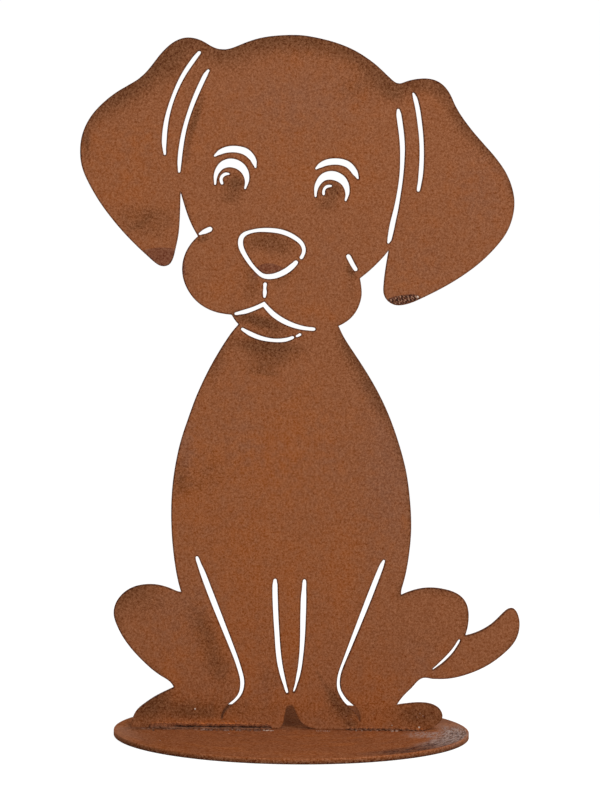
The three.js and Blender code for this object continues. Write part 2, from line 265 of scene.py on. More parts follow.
def left_of(ways):
    """Each way turned by a quarter turn to the left: (x, z) becomes (-z, x)."""
    return np.stack([-ways[:, 1], ways[:, 0]], axis=1)


def unit(ways):
    """Each way divided by its own length."""
    return ways / np.maximum(np.linalg.norm(ways, axis=1, keepdims=True), 1e-12)


side_out = np.empty(len(corner_places), dtype=int)
side_in = np.empty(len(corner_places), dtype=int)
side_out[side_start] = np.arange(len(side_start))
side_in[side_end] = np.arange(len(side_end))
chord = corner_places[side_end] - corner_places[side_start]
chord_length = np.linalg.norm(chord, axis=1)
way = unit(chord)
way_in, way_out = way[side_in], way[side_out]
cross = way_in[:, 0] * way_out[:, 1] - way_in[:, 1] * way_out[:, 0]
turn = np.arctan2(cross, (way_in * way_out).sum(axis=1))
is_corner = (np.abs(turn) > CORNER_TURN)[:, None]
tangent_in = np.where(is_corner, way_in, unit(way_in + way_out))
tangent_out = np.where(is_corner, way_out, unit(way_in + way_out))

bend_at_side = np.abs(turn[side_start]) + np.abs(turn[side_end])
soft_bend = np.minimum(bend_at_side, 2 * CORNER_TURN)
pieces_of_side = np.ceil(chord_length / BORDER_STEP + soft_bend / math.radians(40)).astype(int)
first_point = np.cumsum(pieces_of_side) - pieces_of_side
side_of_point = np.repeat(np.arange(len(pieces_of_side)), pieces_of_side)
share = (np.arange(len(side_of_point)) - first_point[side_of_point]) / pieces_of_side[side_of_point]
share = share[:, None]
handle = (HANDLE_SHARE * chord_length)[:, None]
knots = [
    corner_places[side_start],
    corner_places[side_start] + handle * tangent_out[side_start],
    corner_places[side_end] - handle * tangent_in[side_end],
    corner_places[side_end],
]
weights = [(1 - share) ** 3, 3 * (1 - share) ** 2 * share, 3 * (1 - share) * share**2, share**3]
border = sum(weight * knot[side_of_point] for weight, knot in zip(weights, knots))
sheet_low, sheet_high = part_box("dog_silhouette")
border = np.clip(border, [sheet_low.x, sheet_low.z], [sheet_high.x, sheet_high.z])

after = np.arange(len(border)) + 1
last_point = first_point + pieces_of_side - 1
after[last_point] = first_point[side_out[side_end]]
before = np.empty(len(border), dtype=int)
before[after] = np.arange(len(border))
print("the border has", len(border), "points now")

# %% [markdown]
# At each border point the way into the steel is the mean of its two sides' left hands, made longer at a
# corner so that lines carried inwards stay parallel to the cut.

# %% The way into the steel
MITRE_LEAST = 0.3  # keeps the mitre of a needle-sharp corner short

to_next = unit(border[after] - border)
from_last = to_next[before]
both_left = left_of(to_next) + left_of(from_last)
opening = 1 + (to_next * from_last).sum(axis=1, keepdims=True)
inwards = both_left / np.maximum(opening, MITRE_LEAST)


def steel_depth(places):
    """Signed distance of each (x, z) place from the nearest cut, positive in the steel, and the number of
    the border point nearest to it. The nearest border point is found first, then the nearest place on its
    two sides. The sign is that of the gap along the way into the steel there."""
    half_square = 0.5 * (border**2).sum(axis=1)
    blocks = np.array_split(places, max(1, len(places) // 2000))
    nearest = np.concatenate([np.argmin(half_square - block @ border.T, axis=1) for block in blocks])
    least = np.full(len(places), np.inf)
    depth = np.zeros(len(places))
    for first in (before[nearest], nearest):
        along = border[after[first]] - border[first]
        reach = places - border[first]
        foot = np.clip((reach * along).sum(axis=1) / (along**2).sum(axis=1), 0, 1)
        gap = reach - foot[:, None] * along
        within = (foot > 0) & (foot < 1)
        lean = np.where(within[:, None], left_of(along), both_left[nearest])
        size = np.linalg.norm(gap, axis=1)
        signed = np.where((gap * lean).sum(axis=1) > 0, size, -size)
        depth = np.where(size < least, signed, depth)
        least = np.minimum(size, least)
    return depth, nearest


# %% [markdown]
# The border is many loops: the outline, and one for each cut. Smudges like to follow the outline, so its
# own points are picked out here.

# %% The outline alone
def loop_numbers(next_point):
    """The least point number on each point's own loop. The jump doubles until it has gone all the way
    round."""
    least, jump = np.arange(len(next_point)), next_point.copy()
    for _ in range(math.ceil(math.log2(len(next_point)))):
        least = np.minimum(least, least[jump])
        jump = jump[jump]
    return least


loops = loop_numbers(after)
outline = border[loops == loops[np.argmin(border[:, 0])]]
print("loops:", len(np.unique(loops)), "points of the outline:", len(outline))


def gap_to(places, points):
    """How far each place is from the nearest of the points, by |p|^2 - 2 p.q + |q|^2."""
    blocks = np.array_split(places, max(1, len(places) // 2000))
    point_square = (points**2).sum(axis=1)
    least = [(point_square - 2 * block @ points.T).min(axis=1) + (block**2).sum(axis=1) for block in blocks]
    return np.sqrt(np.maximum(np.concatenate(least), 0))


# %% [markdown]
# ## The faces of the sheet
# A flat face needs no points inside it to be flat, but it needs them to carry its marks: how far each
# place is from a cut, and how strong each smudge is there. So the face gets rows of points beside the
# cuts, a honeycomb of points in between, and a Delaunay net over them all.

# %% Points on a face, and the net over them
EDGE_ROUND = 0.22 * MM  # the small rounding where the laser left the edge
FRONT_CELL = 1.75 * MM
BACK_CELL = 3.2 * MM


def honeycomb(cell):
    """Places a cell apart in rows, every other row shifted by half a cell, over the sheet's whole box."""
    row_step = cell * math.sqrt(3) / 2
    xs = np.arange(sheet_low.x, sheet_high.x, cell)
    zs = np.arange(sheet_low.z, sheet_high.z, row_step)
    shift = (np.arange(len(zs)) % 2) * cell / 2
    return np.stack([(xs[None, :] + shift[:, None]).ravel(), np.repeat(zs, len(xs))], axis=1)


def face_net(cell, row_insets):
    """The (x, z) points of a face, the rounded edge's own points first, and its triangles."""
    edge_row = border + EDGE_ROUND * inwards
    rows = []
    for inset, skip in row_insets:
        row = (border + inset * inwards)[::skip]
        rows.append(row[steel_depth(row)[0] > 0.93 * inset])
    cells = honeycomb(cell)
    deepest_row = row_insets[-1][0]
    rows.append(cells[steel_depth(cells)[0] > deepest_row + 0.45 * cell])
    net_points = np.concatenate([edge_row, *rows])
    sides = np.stack([np.arange(len(border)), after], axis=1)
    found = delaunay_2d_cdt(net_points.tolist(), sides.tolist(), [], 0, 1e-9)
    if len(found[0]) != len(net_points):
        raise ValueError("two points of the face coincide")
    triangles = np.array(found[2])
    middles = net_points[triangles].mean(axis=1)
    return net_points, triangles[steel_depth(middles)[0] > 0]


front_points, front_triangles = face_net(FRONT_CELL, [(0.5 * MM, 1), (0.95 * MM, 1), (1.8 * MM, 2)])
back_points, back_triangles = face_net(BACK_CELL, [(0.6 * MM, 2), (1.6 * MM, 3)])
print("front face:", len(front_points), "points,", len(front_triangles), "triangles")

# %% [markdown]
# ## Smudges and patches
# Heat, handling and rain leave the rust uneven: olive-brown smudges that fade out in a stipple, warmer
# orange places, and a few patches with a crisp edge. Each smudge is a soft oval, given by where it shows
# in the picture, or a band that follows the outline. All the smudges of a kind are joined into one number
# per point of the sheet.

# %% Where the smudges are: u, v, half length and half width in pixels, tilt in degrees, strength
SMUDGES = [
    # the dip before the left ear, and the root of the right ear
    (222, 60, 30, 14, 10, 0.3),
    (376, 78, 24, 14, 42, 0.4),
    (352, 90, 18, 13, 0, 0.42),
    (394, 94, 16, 10, 20, 0.5),
    (412, 86, 22, 8, 4, 0.5),
    # the left ear
    (176, 62, 15, 28, 25, 0.5),
    (192, 84, 6, 22, 25, 0.35),
    (87, 142, 17, 3.5, 86, 0.7),
    (150, 215, 38, 13, 3, 0.42),
    (148, 230, 32, 11, 15, 0.35),
    (140, 224, 22, 3, -35, 0.35),
    # beside the ear's inner line and down the cheek
    (195, 118, 28, 5, -74, 0.75),
    (187, 152, 22, 4, -86, 0.5),
    (186, 208, 18, 3.5, 70, 0.5),
    # pupils and what runs down from them
    (236, 183, 13, 10, 0, 0.85),
    (230, 198, 14, 8, 0, 0.5),
    (333, 190, 13, 11, 0, 0.75),
    (326, 205, 12, 8, 0, 0.5),
    # nose, muzzle and mouth
    (266, 241, 30, 13, -2, 0.65),
    (284, 250, 12, 9, -30, 0.4),
    (250, 272, 8, 16, -25, 0.5),
    (282, 276, 18, 9, -30, 0.5),
    (203, 239, 9, 4, -20, 0.7),
    (186, 272, 5, 22, -6, 0.35),
    (250, 292, 12, 12, 0, 0.4),
    (351, 271, 5, 9, -30, 0.8),
    (352, 292, 6, 18, -5, 0.35),
    (262, 322, 30, 7, 15, 0.95),
    (240, 316, 10, 7, 0, 0.4),
    # under the chin and down the chest
    (268, 346, 36, 12, 6, 0.95),
    (266, 364, 24, 10, -6, 0.55),
    (266, 373, 16, 3, 4, 0.5),
    (216, 372, 9, 20, 27, 0.3),
    (196, 486, 22, 9, -12, 0.3),
    (210, 466, 24, 18, 20, 0.32),
    (181, 478, 9, 19, 3, 0.5),
    # thighs and legs
    (142, 602, 30, 16, -8, 0.4),
    (205, 632, 14, 36, -22, 0.6),
    (218, 668, 14, 20, -20, 0.5),
    (200, 709, 84, 14, 0, 0.48),
    (346, 714, 76, 13, 0, 0.3),
    (152, 706, 22, 12, -28, 0.75),
    (272, 678, 14, 12, 0, 0.35),
    (322, 680, 2.5, 24, -31, 0.45),
    (334, 698, 8, 12, -25, 0.8),
    (346, 710, 11, 9, 25, 0.85),
    (352, 724, 9, 4, 0, 0.7),
    (185, 712, 14, 8, 0, 0.55),
    (205, 713, 10, 6, 0, 0.5),
    (420, 716, 26, 12, 0, 0.75),
    (372, 640, 7, 26, 22, 0.25),
    (420, 640, 22, 18, 0, 0.25),
]
# where a smudge follows the outline: u, v, reach along it and width in pixels, strength
EDGE_SHADES = [
    # the left ear, from its outer edge up to its top
    (86, 150, 26, 5, 0.5),
    (96, 120, 24, 10, 0.6),
    (124, 96, 34, 20, 0.95),
    (154, 66, 28, 18, 0.9),
    (182, 42, 28, 18, 0.8),
    # the dip and the crown
    (222, 50, 26, 12, 0.6),
    (262, 38, 38, 20, 0.9),
    (310, 36, 38, 20, 0.9),
    (354, 54, 32, 16, 0.85),
    (382, 80, 20, 12, 0.5),
    # the right ear
    (408, 80, 24, 10, 0.7),
    (440, 90, 18, 16, 0.85),
    (460, 120, 26, 14, 0.8),
    (484, 152, 28, 10, 0.75),
    (508, 190, 26, 6, 0.6),
    # the body's left and right edges
    (212, 350, 26, 9, 0.6),
    (190, 400, 40, 5, 0.4),
    (184, 480, 40, 5, 0.3),
    (352, 350, 28, 12, 0.85),
    (372, 392, 36, 14, 0.85),
    (394, 450, 40, 7, 0.55),
    (406, 520, 50, 6, 0.5),
    # thighs, paws and tail
    (134, 592, 26, 10, 0.7),
    (118, 622, 26, 7, 0.5),
    (146, 672, 30, 5, 0.4),
    (150, 700, 26, 9, 0.6),
    (400, 594, 20, 7, 0.5),
    (440, 596, 26, 8, 0.6),
    (460, 624, 26, 6, 0.5),
    (430, 706, 30, 7, 0.6),
    (504, 638, 22, 7, 0.5),
    (480, 668, 30, 5, 0.4),
]
WARM_PLACES = [
    (172, 680, 10, 30, -8, 0.8),
    (190, 722, 44, 3.5, 1, 0.9),
    (246, 676, 8, 24, 0, 0.7),
    (291, 620, 8, 50, 0, 0.6),
    (222, 285, 24, 16, 0, 0.6),
    (318, 312, 26, 9, 10, 0.6),
    (195, 480, 36, 60, 0, 0.5),
    (225, 655, 50, 40, 0, 0.4),
    (205, 714, 80, 14, 0, 0.5),
    (370, 714, 60, 14, 0, 0.45),
    (352, 170, 26, 40, 0, 0.35),
    (296, 430, 60, 46, 0, 0.35),
    (302, 160, 24, 50, 0, 0.3),
    (350, 92, 9, 6, 0, 0.3),
    (128, 190, 34, 30, 0, 0.3),
    (250, 560, 40, 60, 0, 0.35),
    (344, 590, 20, 40, 0, 0.4),
    (372, 722, 26, 6, 0, 0.45),
    (252, 338, 12, 5, 10, 0.6),
    # the middle of the body and of the legs
    (262, 480, 34, 80, 0, 0.5),
    (330, 560, 22, 60, 0, 0.3),
    (292, 640, 20, 90, 0, 0.4),
    (370, 680, 26, 34, 0, 0.45),
    (196, 524, 12, 30, 0, 0.4),
    (292, 706, 110, 16, 0, 0.4),
    (142, 142, 38, 30, 0, 0.45),
]
DULL_PLACES = [
    (300, 100, 70, 34, 0, 0.55),
    (200, 600, 20, 26, 0, 0.35),
    (392, 470, 34, 100, 0, 0.75),
    (186, 450, 13, 30, 0, 0.8),
    (328, 450, 14, 44, 0, 0.3),
    (374, 380, 20, 30, 0, 0.4),
    (486, 190, 24, 50, 0, 0.4),
    (420, 265, 40, 44, 0, 0.4),
    (260, 450, 50, 24, 20, 0.35),
    (238, 400, 18, 34, 0, 0.3),
    (470, 190, 26, 40, 0, 0.3),
    (420, 660, 22, 30, 0, 0.4),
    (170, 620, 26, 40, 0, 0.4),
    (330, 260, 22, 34, 0, 0.35),
    (150, 150, 40, 26, 0, 0.25),
    (270, 690, 24, 14, 0, 0.35),
]

SHEET_PIXEL = (SHEET_FRONT - EYE[1]) / FOCAL_LENGTH


def soft_marks(places, ovals):
    """1 minus the product of (1 - strength * exp(-distance squared)) over the ovals, where the distance is
    counted in half lengths along an oval and half widths across it."""
    left_over = np.ones(len(places))
    for u, v, half_length, half_width, tilt, strength in ovals:
        away = places - np.array(on_sheet(u, v))
        # a picture's tilt runs clockwise, because v points down
        angle = math.radians(-tilt)
        along = away[:, 0] * math.cos(angle) + away[:, 1] * math.sin(angle)
        across = away[:, 1] * math.cos(angle) - away[:, 0] * math.sin(angle)
        distance = (along / half_length) ** 2 + (across / half_width) ** 2
        left_over *= 1 - strength * np.exp(-distance / SHEET_PIXEL**2)
    return 1 - left_over


def edge_shades(places):
    """Joined in the same way, strength * exp(-(distance / reach)^2) * exp(-(outline gap / width)^1.5)."""
    gap = gap_to(places, outline) / SHEET_PIXEL
    left_over = np.ones(len(places))
    for u, v, reach, width, strength in EDGE_SHADES:
        away = places - np.array(on_sheet(u, v))
        distance = (away**2).sum(axis=1) / (reach * SHEET_PIXEL) ** 2
        left_over *= 1 - strength * np.exp(-distance - (gap / width) ** 1.5)
    return 1 - left_over


# %% [markdown]
# Two patches, the tip of the left ear and the bottom of the nose, are a shade more purple with a crisp
# upper edge, as if they had been dipped. For each, the number stored is how far below that edge it is, in
# millimetres, so the material can cut it off sharply in between the points.

# %% The two dipped patches
def dipped(places, left_end, right_end, sag, reach):
    """Millimetres below an arc that runs from left_end to right_end and rises by sag pixels in the middle.
    Beyond the ends of the arc, or more than reach pixels below it, the value is negative."""
    left, right = np.array(on_sheet(*left_end)), np.array(on_sheet(*right_end))
    middle, half = (left + right) / 2, (right - left) / 2
    share_along = ((places - middle) * half).sum(axis=1) / (half**2).sum()
    line = middle[1] + share_along * half[1] + sag * SHEET_PIXEL * (1 - share_along**2)
    below = line - places[:, 1]
    within = (1.3 - np.abs(share_along)) * np.linalg.norm(half)
    return np.minimum(below, np.minimum(within, reach * SHEET_PIXEL - below)) / MM


# painted shade: the burnt line along a cut is made darker on the side where the steel lies right of and
# below the cut
SHADED_SIDE_WAY = np.array([0.75, -0.66])  # the line is darkest where the steel lies this way from the cut
BURNT_MEAN, SHADED_SIDE_SWING = 0.68, 0.24
DISC_SEEN_TO = 17 * MM  # below this height the disc shows behind the cuts, and they look less burnt


def sheet_marks(places, depth, nearest):
    """All that the sheet's material reads at the given places: millimetres to the nearest cut, how burnt
    that cut is with painted shade making it darker on one side, the joined smudges, warm and dull places,
    and millimetres into a dipped patch."""
    ear_tip = dipped(places, (141, 251), (179, 250), 3, 24)
    nose_tip = dipped(places, (257, 267), (280, 266.5), 3.6, 10)
    # painted shade: how far the steel lies right of and below the cut sets how much darker the cut line is
    # painted
    facing = np.clip(unit(inwards[nearest]) @ SHADED_SIDE_WAY, -1, 1)
    clear_of_disc = 0.5 + 0.5 * np.clip((places[:, 1] - DISC_SEEN_TO) / (5 * MM), -1, 1)
    return {
        "cut_gap": np.clip(depth / MM, 0, 10),
        "burn_and_shade": (BURNT_MEAN + SHADED_SIDE_SWING * facing) * (0.25 + 0.75 * clear_of_disc),
        "smudge": 1 - (1 - soft_marks(places, SMUDGES)) * (1 - edge_shades(places)),
        "warm": soft_marks(places, WARM_PLACES),
        "dull": soft_marks(places, DULL_PLACES),
        "dipped": np.maximum(ear_tip, nose_tip),
    }


# %% [markdown]
# ## The puppy
# The cut edge is a small profile carried along the whole border: a quarter round at the front, the
# straight wall that the laser left, and a quarter round at the back. Its first and last lines are the
# borders of the two faces. Known fault: in about a hundred tight bends each face also keeps small flat
# triangles over the rounding, because a triangle is judged by the cut and not by the face's own border.

# %% Carry the edge's profile along the border
round_turn = np.linspace(0, math.pi / 2, 4)
profile_inset = EDGE_ROUND * (1 - np.sin(round_turn))
profile_sink = EDGE_ROUND * (1 - np.cos(round_turn))
profile_inset = np.concatenate([profile_inset, profile_inset[::-1]])
profile_y = np.concatenate([SHEET_FRONT + profile_sink, SHEET_BACK - profile_sink[::-1]])
lines, count = len(profile_inset), len(border)

edge_xz = border[None] + profile_inset[:, None, None] * inwards[None]
edge_y = np.broadcast_to(profile_y[:, None], (lines, count))
edge_points = np.stack([edge_xz[..., 0], edge_y, edge_xz[..., 1]], axis=-1).reshape(-1, 3)

line = np.arange(lines - 1)[:, None] * count
here, ahead = np.arange(count)[None, :], after[None, :]
edge_quads = np.stack(
    [line + here, line + count + here, line + count + ahead, line + ahead], axis=-1
).reshape(-1, 4)


def lay_flat(places, y):
    """Places (x, z) as points of the plane at that y."""
    return np.stack([places[:, 0], np.full(len(places), y), places[:, 1]], axis=1)


# %% Join the edge and the two faces
front_inner = front_points[count:]
back_inner = back_points[count:]
dog_points = np.concatenate(
    [edge_points, lay_flat(front_inner, SHEET_FRONT), lay_flat(back_inner, SHEET_BACK)]
)
front_index = np.arange(len(front_points))
front_index[count:] += (lines - 1) * count
back_index = np.arange(len(back_points)) + (lines - 1) * count
back_index[count:] += len(front_inner)

dog_depth, dog_nearest = steel_depth(dog_points[:, [0, 2]])
dog_marks = sheet_marks(dog_points[:, [0, 2]], dog_depth, dog_nearest)
dog = make_piece(
    "puppy_sheet",
    dog_points,
    [edge_quads, front_index[front_triangles], back_index[back_triangles][:, ::-1]],
    dog_marks,
)

# %% [markdown]
# ## The base disc
# The disc is a profile turned once round: flat top, a small rounding, the cut rim and the underside. The
# grid's points also carry marks: where the rust is rubbed, pale or painted lighter, spotted or stained,
# where the sheet's shadow is painted on it, where the welding heated it or left slag, and which points
# belong to the upper part of the rim, with a painted glint, and to the lower part, with painted shade.

# %% Turn the disc's profile
DISC_RADIUS = (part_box("base_disc")[1].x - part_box("base_disc")[0].x) / 2
RIM_ROUND = 0.4 * MM
INNER_RING = 1.5 * MM  # the smallest ring, closed by a fan of triangles
DISC_STEPS = 360

rings = np.linspace(INNER_RING, DISC_RADIUS - RIM_ROUND, 66)
rim_turn = np.linspace(0, math.pi / 2, 5)[1:]
rim_radius = DISC_RADIUS - RIM_ROUND + RIM_ROUND * np.sin(rim_turn)
rim_drop = RIM_ROUND * (1 - np.cos(rim_turn))
under_rings = np.linspace(DISC_RADIUS - RIM_ROUND, INNER_RING, 14)
disc_r = np.concatenate([rings, rim_radius, rim_radius[::-1], under_rings])
disc_z = np.concatenate(
    [
        np.full(len(rings), DISC_TOP),
        DISC_TOP - rim_drop,
        rim_drop[::-1],
        np.zeros(len(under_rings)),
    ]
)
round_angle = np.arange(DISC_STEPS) * 2 * math.pi / DISC_STEPS
disc_x = disc_r[:, None] * np.cos(round_angle)[None]
disc_y = disc_r[:, None] * np.sin(round_angle)[None]
disc_points = np.stack([disc_x, disc_y, np.repeat(disc_z, DISC_STEPS).reshape(disc_x.shape)], axis=-1)
disc_points = disc_points.reshape(-1, 3)
poles = np.array([[0, 0, DISC_TOP], [0, 0, 0]])
top_pole = len(disc_points)
step = np.arange(DISC_STEPS)
next_step = (step + 1) % DISC_STEPS
last_ring = (len(disc_r) - 1) * DISC_STEPS
top_fan = np.stack([np.full(DISC_STEPS, top_pole), step, next_step], axis=1)
under_fan = np.stack([np.full(DISC_STEPS, top_pole + 1), last_ring + next_step, last_ring + step], axis=1)
disc_quads = grid_faces(len(disc_r), DISC_STEPS, closed_columns=True)[:, ::-1]
disc_points = np.concatenate([disc_points, poles])


# %% Where the disc is rubbed and where it was hot
def ease(value, low, high):
    """0 below low, 1 above high, and a smooth S curve in between."""
    part = np.clip((value - low) / (high - low), 0, 1)
    return part * part * (3 - 2 * part)


def between(value, rise, fall):
    """1 from the pair rise to the pair fall, eased up over the first pair and down over the second."""
    return ease(value, *rise) * (1 - ease(value, *fall))


def soft_spot(x, y, middle, size):
    """exp(-(dx / width)^2 - (dy / depth)^2), an oval round its middle."""
    return np.exp(-(((x - middle[0]) / size[0]) ** 2) - ((y - middle[1]) / size[1]) ** 2)


def disc_marks(points):
    """Soft areas in millimetres and degrees. Rubbed down to grey and spotted dark along the rim at the
    right, pale at the left rim and painted light behind at the right, heated along the foot of the sheet,
    the sheet's painted shadow behind its left half and behind its left end, a stain in front of its left
    end, slag in front of the left weld, and a painted glint on the upper and painted shade on the lower edge
    of the rim."""
    x, y = points[:, 0] / MM, points[:, 1] / MM
    radius, angle = np.hypot(x, y), np.degrees(np.arctan2(y, x))
    on_top = points[:, 2] > 1 * MM
    rubbed = ease(radius, 80, 88) * (1 - 0.6 * ease(radius, 98.4, 99.6))
    rubbed *= between(angle, (-46, -22), (-2, 18))
    wedge = ease(radius, 62, 74) * between(angle, (-26, -14), (-8, -2))
    spotted = between(radius, (82, 91), (98.4, 99.5)) * between(angle, (-74, -50), (-8, 14))
    along = between(x, (-92, -70), (66, 82))
    # painted shadow: the sheet's shadow on the disc behind its left half
    behind = ease(y, 0, 4) * np.exp(-(((x + 30) / 48) ** 2))
    # painted shadow: the disc darker behind the sheet's left end
    corner = 0.62 * soft_spot(x, y, (-84, 6), (14, 16))
    left_end = 1.1 * soft_spot(x, y, (-80, -5), (17, 7))
    left_rim = 0.5 * ease(radius, 82, 97) * ease(np.abs(angle), 140, 166) * ease(-y, -8, 6)
    # painted light: the disc's far right behind the foot made paler as if lit
    far_right_light = 0.5 * ease(radius, 78, 90) * between(angle, (4, 14), (34, 60))
    slag_strip = between(-y, (2, 4), (9, 13)) * between(x, (-58, -48), (-17, -12))
    left_lumps = 0.55 * between(-y, (2, 4), (7, 10)) * between(x, (-90, -84), (-54, -46))
    return {
        "rubbed": np.maximum(rubbed, 0.8 * wedge) * on_top,
        "pale_and_painted_light": np.maximum(left_rim, far_right_light) * on_top,
        "slag": np.maximum(slag_strip, left_lumps) * on_top,
        "spotted": spotted * on_top,
        "heated": np.exp(-((y / 6) ** 2)) * along,
        "stain_and_shadow": np.maximum(0.75 * behind, np.maximum(corner, left_end)) * on_top,
        # painted shade along the lower edge of the rim at the front
        "low_rim_shade": ease(radius, 98.5, 99.5) * (1 - ease(points[:, 2] / MM, 0.5, 1.3)) * ease(-y, 5, 50),
        # painted glint along the upper edge of the rim
        "high_rim_glint": ease(radius, 98.6, 99.4) * ease(points[:, 2] / MM, 0.9, 1.7),
    }


disc = make_piece("disc", disc_points, [disc_quads, top_fan, under_fan], disc_marks(disc_points))

# %% [markdown]
# ## The welds
# A weld bead is laid by hand in small overlapping drops, so its back has ripples and its edges wander.
# Here the front left one also has a deep groove along it, where the metal sank between the sheet and the
# disc, and the two behind have a faint one.
# Each bead is a grid: steps along the seam, and an arc from the disc up to the sheet at each step.

# %% A wandering line
def wander(places, seed, wave_lengths):
    """A smooth uneven line between about -1 and 1: the mean of sine waves with the given lengths and with
    phases drawn from the seed."""
    phases = np.random.default_rng(seed).uniform(0, 2 * math.pi, len(wave_lengths))
    waves = [np.sin(2 * math.pi * places / length + phase) for length, phase in zip(wave_lengths, phases)]
    return sum(waves) / math.sqrt(len(waves))


# %% A weld bead
BEAD_ARC = 15
BEAD_STEP = 0.4 * MM
BEAD_SINK = 0.15 * MM  # how far a bead's root lies inside the sheet and the disc
BEAD_END = 3 * MM  # the run over which a bead's end closes
GROOVE_ARC, GROOVE_WIDTH = 0.5, 0.28  # the groove's place and half width on the arc, in radians
GROOVE_START = 17 * MM  # from the left end, where the groove has its full depth


def make_bead(name, node_name, out, up, groove, ripple, pitch, seed):
    """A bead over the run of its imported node. At each step the reach at angle a is
    1 / sqrt((cos a / out)^2 + (sin a / up)^2), made shorter in the groove and uneven by the ripples and by
    two wandering lines, one for the foot on the disc and one for the foot on the sheet. out, up and pitch
    are in millimetres."""
    out, up, pitch = out * MM, up * MM, pitch * MM
    low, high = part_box(node_name)
    front = low.y < SHEET_FRONT
    root_y, sign = (SHEET_FRONT, -1) if front else (SHEET_BACK, 1)
    steps = int((high.x - low.x) / BEAD_STEP)
    along = np.linspace(low.x, high.x, steps)[:, None]
    arc = np.linspace(0, math.pi / 2, BEAD_ARC)[None, :]
    from_end = np.minimum(along - low.x, high.x - along)
    ends = np.sqrt(1 - (1 - np.clip(from_end / BEAD_END, 0, 1)) ** 2)
    drops = np.abs(np.sin(math.pi * along / pitch + 0.5 * np.sin(2 * arc) + wander(along, seed, [0.031])))
    rough = wander(along + 0.004 * arc, seed + 1, [0.0071, 0.0043, 0.0029, 0.0017])
    rough *= 0.4 if groove > 0.3 else 1.0  # a deep groove is smoother
    foot_disc = 1 + 0.22 * wander(along, seed + 2, [0.019, 0.0083, 0.0037])
    foot_sheet = 1 + 0.07 * wander(along, seed + 3, [0.023, 0.0091, 0.0041])
    reach = 1 / np.sqrt((np.cos(arc) / (out * foot_disc)) ** 2 + (np.sin(arc) / (up * foot_sheet)) ** 2)
    sunk = groove * np.exp(-(((arc - GROOVE_ARC) / GROOVE_WIDTH) ** 2))
    sunk = sunk * (1 + 0.15 * wander(along, seed + 4, [0.017, 0.006]))
    sunk = sunk * ease(along, low.x + BEAD_END, low.x + GROOVE_START)
    reach = reach * ends * (1 - sunk) * (1 - ripple * (1 - drops) + 0.5 * ripple * rough)
    y = np.clip(reach * np.cos(arc), 0, out)
    z = np.minimum(reach * np.sin(arc), up)
    bead = np.stack([np.broadcast_to(along, y.shape), root_y + sign * y, DISC_TOP + z], axis=-1)
    sunk_y, sunk_z = root_y - sign * BEAD_SINK, DISC_TOP - BEAD_SINK
    root = np.stack([along[:, 0], np.full(steps, sunk_y), np.full(steps, sunk_z)], axis=-1)
    ring = np.concatenate([bead, root[:, None]], axis=1)
    points = ring.reshape(-1, 3)
    columns = BEAD_ARC + 1
    quads = grid_faces(steps, columns, closed_columns=True)
    tip_start, tip_end = len(points), len(points) + 1
    points = np.concatenate([points, ring[[0, -1]].mean(axis=1)])
    column = np.arange(columns)
    next_column = (column + 1) % columns
    last = (steps - 1) * columns
    start_fan = np.stack([np.full(columns, tip_start), next_column, column], axis=1)
    end_fan = np.stack([np.full(columns, tip_end), last + column, last + next_column], axis=1)
    faces = [quads, start_fan, end_fan]
    # known fault: every bead's faces point inwards, because it is the front ones that need turning round
    if not front:
        faces = [rows[:, ::-1] for rows in faces]
    low_foot = np.broadcast_to(1 - arc / (math.pi / 2), y.shape)
    # painted shade: the groove's depth, which the material paints nearly black
    groove_shade = np.broadcast_to(sunk / max(groove, 0.01), y.shape) if groove else np.zeros(y.shape)
    crest = np.broadcast_to(drops, y.shape)

    def spread(values):
        """A bead's numbers with a zero for the root of each step and for the two tips."""
        rooted = np.concatenate([values, np.zeros((steps, 1))], axis=1).ravel()
        return np.concatenate([rooted, [0, 0]])

    marks = {"low_foot": spread(low_foot), "groove_shade": spread(groove_shade), "crest": spread(crest)}
    return make_piece(name, points, faces, marks)


BEADS = [
    # place, reach out and up, depth of the groove and of the ripples as shares, pitch of the drops, seed
    ("front_left", 4, 3.2, 0.45, 0.16, 2.6, 11),
    ("front_right", 3.6, 1.3, 0.0, 0.55, 2.9, 23),
    ("rear_left", 3.6, 2.8, 0.12, 0.25, 2.4, 37),
    ("rear_right", 3.6, 2.8, 0.12, 0.25, 2.4, 41),
]
beads = {where: make_bead("bead_" + where, "weld_" + where, *sizes) for where, *sizes in BEADS}

# %% [markdown]
# ## Spatter and the crust on the right ear
# Welding throws small drops that freeze where they land. They are little domes, all copies of one grid.
# The tip of the right ear carries a rough dark crust, a lens of slag about 18 mm long, that stands up to
# about half a millimetre proud of the sheet.

# %% Drops of spatter
DOME_RINGS, DOME_STEPS = 4, 10


